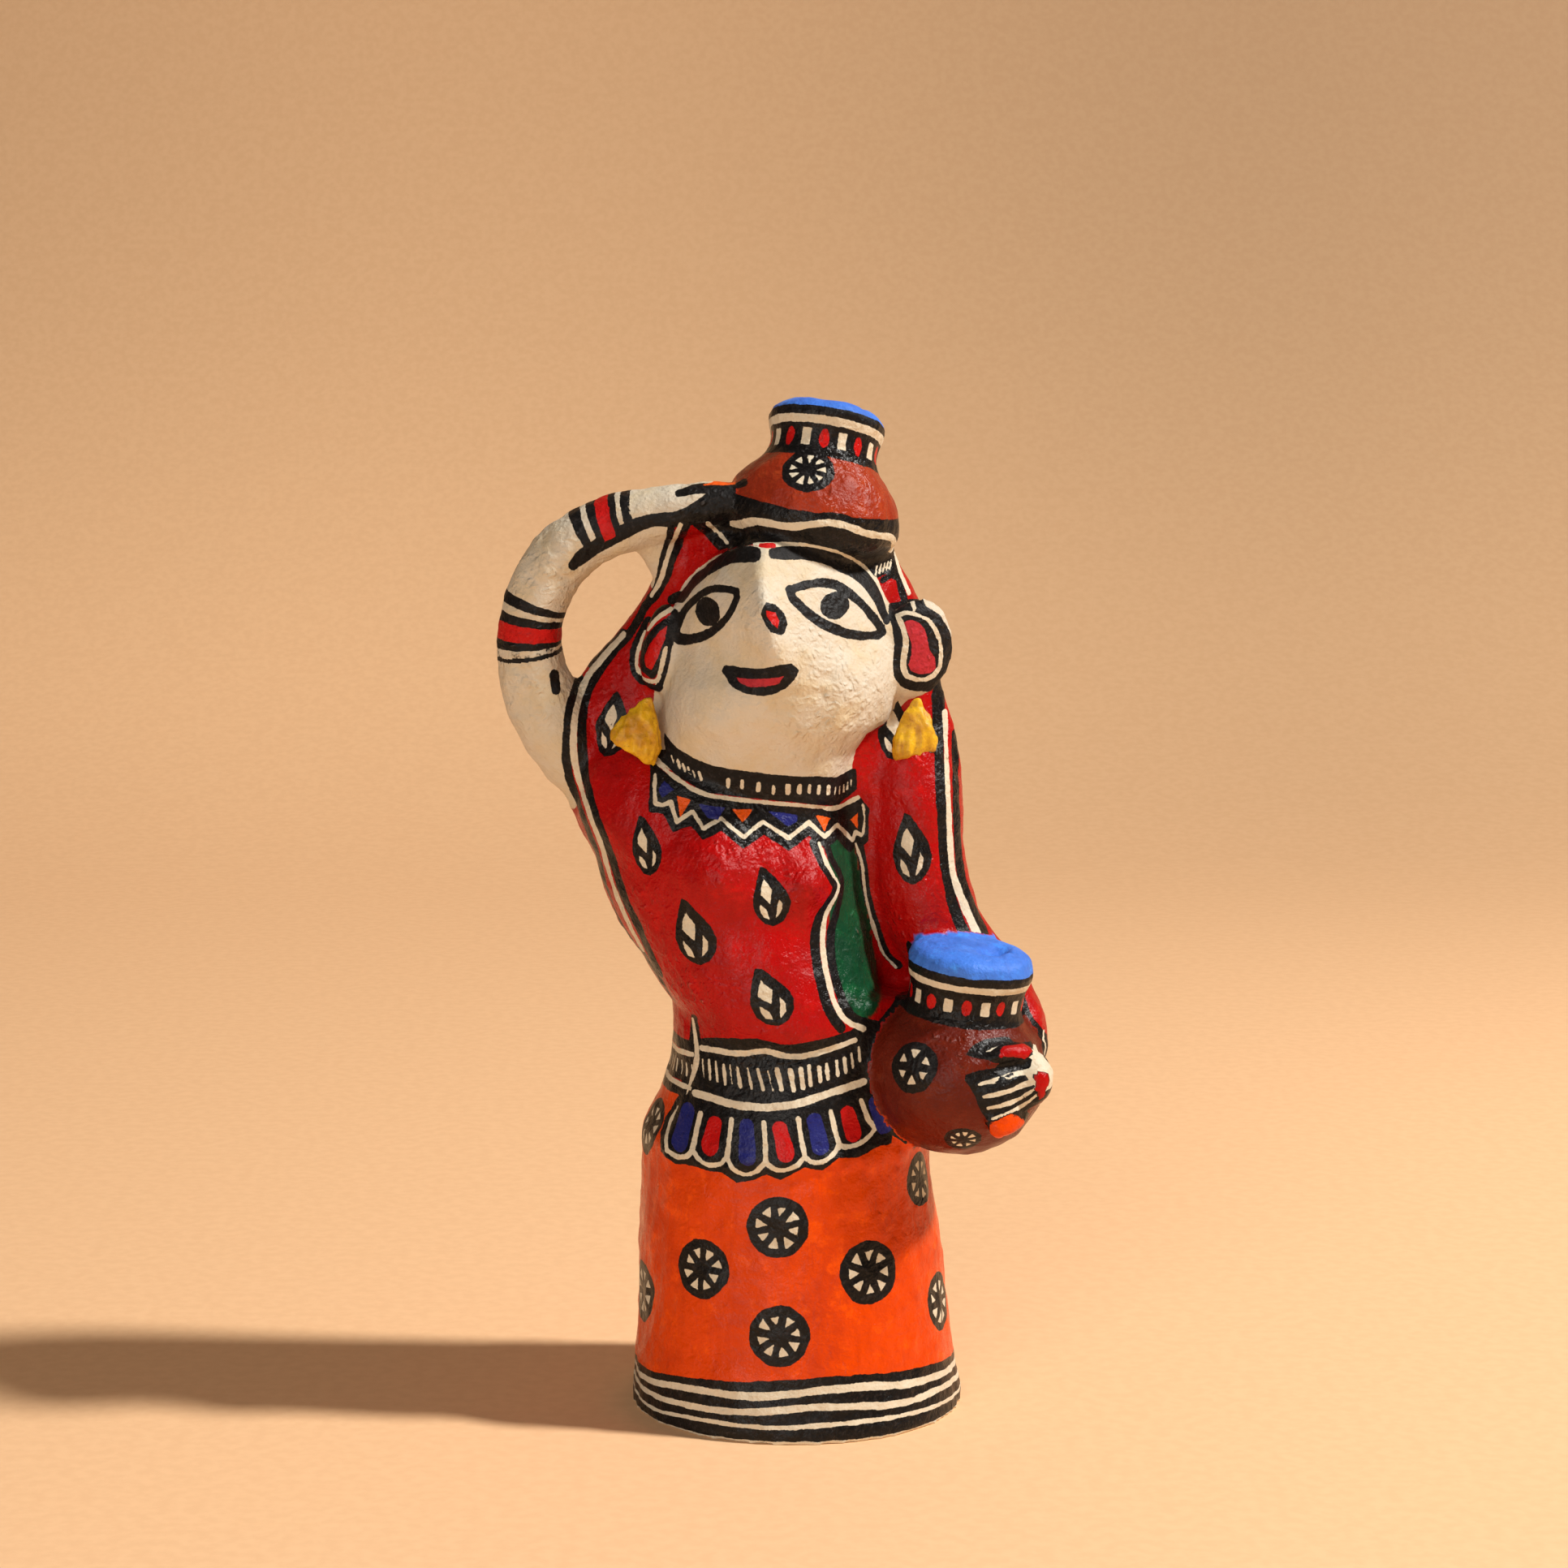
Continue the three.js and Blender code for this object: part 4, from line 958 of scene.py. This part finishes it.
paintFinish = {
    "edgeWander": 0.30, "edgeFray": 0.14, "edgeSoftness": 0.07, "inkSpread": 0.2,   # millimetres
    "colourRoughness": 0.27, "creamRoughness": 0.50,
    "crinkleScale": 700.0, "crinkleDepth": 0.00075, "pulpDepth": 0.00045, "specular": 0.2, "coat": 0.0,
}


def paintMaterial():
    finish = paintFinish
    material = bpy.data.materials.new("painted paper pulp")
    material.use_nodes = True
    tree = material.node_tree
    shader = tree.nodes["Principled BSDF"]
    spot = addNode(tree, "ShaderNodeTexCoord").outputs["Object"]

    def attribute(name, output="Fac"):
        return addNode(tree, "ShaderNodeAttribute", {"attribute_name": name}).outputs[output]

    wander = sums(tree, "SUBTRACT", noiseValue(tree, spot, 330.0, 2.0), 0.5)
    fray = sums(tree, "SUBTRACT", noiseValue(tree, spot, 1900.0, 2.0), 0.5)
    wobble = sums(tree, "MULTIPLY_ADD", wander, finish["edgeWander"] * 2,
                  sums(tree, "MULTIPLY", fray, finish["edgeFray"] * 2))

    def coverage(name):
        edge = sums(tree, "ADD", attribute(name), wobble)
        if name == "ink":
            edge = sums(tree, "SUBTRACT", edge, finish["inkSpread"])
        return ramp(tree, edge, -finish["edgeSoftness"], finish["edgeSoftness"], 1.0, 0.0)

    patchy = noiseValue(tree, spot, 95.0, 4.0, 0.6)
    mottle = noiseValue(tree, spot, 240.0, 4.0, 0.65)
    fine = noiseValue(tree, spot, 900.0, 4.0, 0.65)
    grain = noiseValue(tree, spot, 2600.0, 2.0, 0.6)
    stretched = addNode(tree, "ShaderNodeMapping", None, Vector=spot, Scale=(300.0, 300.0, 40.0)).outputs[0]
    streak = noiseValue(tree, stretched, 1.6, 4.0, 0.6)
    bent = addNode(tree, "ShaderNodeVectorMath", {"operation": "MULTIPLY_ADD"}, i0=addNode(
        tree, "ShaderNodeTexNoise", None, Vector=spot, Scale=500.0, Detail=2.0).outputs["Color"],
        i1=(0.0016, 0.0016, 0.0016), i2=spot).outputs[0]
    crease = noiseValue(tree, bent, finish["crinkleScale"], 4.0, 0.6, "RIDGED_MULTIFRACTAL")
    wrinkleAndSheen = sums(tree, "MULTIPLY", attribute("crinkle_and_sheen"), ramp(tree, mottle, 0.3, 0.55, 0.35, 1.0))
    # Painted highlight: in the wrinkled spots the creases lighten the ground, cream, black and accent colours
    # towards pale tints, as if they caught the lamps.
    paintedGlint = sums(tree, "MULTIPLY", wrinkleAndSheen, ramp(tree, crease, 0.35, 0.85))

    ground = attribute("ground", "Color")
    darker = blendColours(tree, 1.0, ground, (0.66, 0.50, 0.56, 1.0), "MULTIPLY")
    brighter = blendColours(tree, 1.0, ground, (1.4, 1.9, 1.5, 1.0), "MULTIPLY")
    ground = blendColours(tree, ramp(tree, patchy, 0.42, 0.68, 0.0, 0.5), ground, darker)
    ground = blendColours(tree, ramp(tree, streak, 0.45, 0.75, 0.0, 0.35), ground, darker)
    ground = blendColours(tree, ramp(tree, mottle, 0.52, 0.72, 0.0, 0.55), ground, brighter)
    ground = blendColours(tree, sums(tree, "MULTIPLY", paintedGlint, 0.42), ground, linear(236, 160, 150))
    cream = blendColours(tree, ramp(tree, patchy, 0.4, 0.7), paintBox["cream"], linear(212, 194, 162))
    cream = blendColours(tree, ramp(tree, grain, 0.64, 0.76, 0.0, 0.4), cream, linear(172, 146, 112))
    cream = blendColours(tree, sums(tree, "MULTIPLY", paintedGlint, 0.5), cream, linear(244, 234, 212))
    black = blendColours(tree, ramp(tree, fine, 0.5, 0.72), paintBox["black"], linear(44, 40, 40))
    black = blendColours(tree, sums(tree, "MULTIPLY", paintedGlint, 0.6), black, linear(150, 146, 146))
    chalk = blendColours(tree, ramp(tree, fine, 0.5, 0.75, 0.0, 0.6), paintBox["chalk"],
        linear(204, 180, 146))
    accent = attribute("accentColour", "Color")
    accentDark = blendColours(tree, 1.0, accent, (0.55, 0.45, 0.5, 1.0), "MULTIPLY")
    accent = blendColours(tree, ramp(tree, fine, 0.5, 0.72, 0.0, 0.7), accent, accentDark)
    accent = blendColours(tree, sums(tree, "MULTIPLY", paintedGlint, 0.6), accent, linear(240, 190, 184))

    colour = blendColours(tree, coverage("cream"), ground, cream)
    colour = blendColours(tree, coverage("ink"), colour, black)
    colour = blendColours(tree, coverage("chalk"), colour, chalk)
    colour = blendColours(tree, coverage("accent"), colour, accent)
    colour = blendColours(tree, coverage("topChalk"), colour, chalk)
    tree.links.new(colour, shader.inputs["Base Color"])

    matt = sums(tree, "MAXIMUM", sums(tree, "MAXIMUM", coverage("cream"), coverage("chalk")),
        attribute("matt"))
    rough = ramp(tree, matt, 0.0, 1.0, finish["colourRoughness"], finish["creamRoughness"])
    rough = sums(tree, "ADD", rough, ramp(tree, patchy, 0.35, 0.7, -0.06, 0.12))
    tree.links.new(rough, shader.inputs["Roughness"])
    shader.inputs["Specular IOR Level"].default_value = finish["specular"]
    shader.inputs["Coat Weight"].default_value = finish["coat"]
    shader.inputs["Coat Roughness"].default_value = 0.18

    pulp = noiseValue(tree, spot, 380.0, 5.0, 0.62)
    wrinkles = sums(tree, "MULTIPLY", crease, sums(tree, "MULTIPLY_ADD", wrinkleAndSheen, 1.0, 0.16))
    low = addNode(tree, "ShaderNodeBump", None, Strength=1.0, Distance=finish["pulpDepth"],
        Height=pulp).outputs[0]
    bump = addNode(tree, "ShaderNodeBump", None, Strength=1.0, Distance=finish["crinkleDepth"], Height=sums(
        tree, "MULTIPLY_ADD", fine, 0.25, wrinkles), Normal=low)
    tree.links.new(bump.outputs[0], shader.inputs["Normal"])
    return material


figure.data.materials.clear()
figure.data.materials.append(paintMaterial())
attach(figure, "root")
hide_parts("figure")
print("figure finished:", len(figure.data.polygons), "faces")


# ---- earrings ----

earringSettings = {"voxel": 0.34, "smoothing": 2, "fold": 0.5, "foldSize": 2.2, "crumple": 0.25}


def yellowMaterial():
    material = bpy.data.materials.new("yellow painted paper")
    material.use_nodes = True
    tree = material.node_tree
    shader = tree.nodes["Principled BSDF"]
    spot = addNode(tree, "ShaderNodeTexCoord").outputs["Object"]
    patchy = noiseValue(tree, spot, 260.0, 4.0, 0.6)
    fine = noiseValue(tree, spot, 1500.0, 4.0, 0.65)
    colour = blendColours(tree, ramp(tree, patchy, 0.38, 0.66), linear(232, 182, 14), linear(196, 138, 6))
    colour = blendColours(tree, ramp(tree, fine, 0.55, 0.72, 0.0, 0.6), colour, linear(150, 98, 8))
    tree.links.new(colour, shader.inputs["Base Color"])
    tree.links.new(ramp(tree, fine, 0.3, 0.7, 0.38, 0.58), shader.inputs["Roughness"])
    bump = addNode(tree, "ShaderNodeBump", None, Strength=0.9, Distance=0.00016, Height=fine)
    tree.links.new(bump.outputs[0], shader.inputs["Normal"])
    return material


yellow = yellowMaterial()
for side, seed in (("left", 11), ("right", 17)):
    settings = earringSettings
    earring = nodeCopy("earring_" + side, "earring_" + side + "_paper", settings["voxel"],
        settings["smoothing"])
    points = places(earring.data)
    normals = directions(earring.data)
    upright = points * np.array((1.0, 1.0, 0.35))
    folds = np.abs(bumps(upright, settings["foldSize"], seed))
    lift = settings["fold"] * (0.25 - folds) * 1.6 + settings["crumple"] * bumps(points, 1.3, seed + 1)
    movePlaces(earring.data, points + normals * lift[:, None])
    earring.data.polygons.foreach_set("use_smooth", [True] * len(earring.data.polygons))
    earring.data.materials.clear()
    earring.data.materials.append(yellow)
    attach(earring, "root")
    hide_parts("earring_" + side)
    print("earring", side, len(earring.data.polygons), "faces")


# ---- floor ----

# The sweep's colour, and how much painted shade darkens it towards the right and towards the top.
floorSettings = {"width": 3200, "near": -1400, "bend": 650, "radius": 600, "height": 1500,
                 "colour": (249, 203, 155), "paintedShadeRight": 0.32, "paintedShadeTop": 0.28}


def sweep():
    floor = bmesh.new()
    bmesh.ops.create_grid(floor, x_segments=2, y_segments=60, size=1.0)
    settings = floorSettings
    flat = settings["bend"] - settings["near"]
    curve = settings["radius"] * math.pi / 2
    whole = flat + curve + settings["height"]
    for vertex in floor.verts:
        run = (vertex.co.y + 1) / 2 * whole
        if run < flat:
            y, z = settings["near"] + run, 0.0
        elif run < flat + curve:
            angle = (run - flat) / settings["radius"]
            y = settings["bend"] + settings["radius"] * math.sin(angle)
            z = settings["radius"] * (1 - math.cos(angle))
        else:
            y = settings["bend"] + settings["radius"]
            z = settings["radius"] + run - flat - curve
        vertex.co = Vector((vertex.co.x * settings["width"] / 2, y, z)) * mm
    mesh = bpy.data.meshes.new("floor")
    floor.to_mesh(mesh)
    floor.free()
    mesh.polygons.foreach_set("use_smooth", [True] * len(mesh.polygons))
    return newPiece("floor", mesh)


floor = sweep()
floorMaterial = bpy.data.materials.new("pale paper sweep")
floorMaterial.use_nodes = True
floorTree = floorMaterial.node_tree
floorSpot = addNode(floorTree, "ShaderNodeTexCoord").outputs["Object"]
floorGrain = noiseValue(floorTree, floorSpot, 300.0, 3.0)
floorColour = blendColours(floorTree, ramp(floorTree, floorGrain, 0.3, 0.7), linear(*floorSettings["colour"]),
                           linear(244, 197, 149))
spotParts = addNode(floorTree, "ShaderNodeSeparateXYZ", None, Vector=floorSpot).outputs
# Painted shade: the sweep's colour darkens towards the right and towards the top, standing in for the light
# falling off there.
paintedShadeRightShare = sums(floorTree, "MULTIPLY", ramp(floorTree, spotParts["Y"], 0.2, 0.9),
                  ramp(floorTree, spotParts["X"], -0.25, 0.28, 0.0, floorSettings["paintedShadeRight"]))
floorColour = blendColours(floorTree, paintedShadeRightShare, floorColour, (0.0, 0.0, 0.0, 1.0))
paintedShadeTopShare = ramp(floorTree, spotParts["Y"], 0.85, 1.25, 0.0, floorSettings["paintedShadeTop"])
floorColour = blendColours(floorTree, paintedShadeTopShare, floorColour, (0.0, 0.0, 0.0, 1.0))
floorTree.links.new(floorColour, floorTree.nodes["Principled BSDF"].inputs["Base Color"])
floorTree.nodes["Principled BSDF"].inputs["Roughness"].default_value = 0.8
floor.data.materials.append(floorMaterial)
print("floor laid")
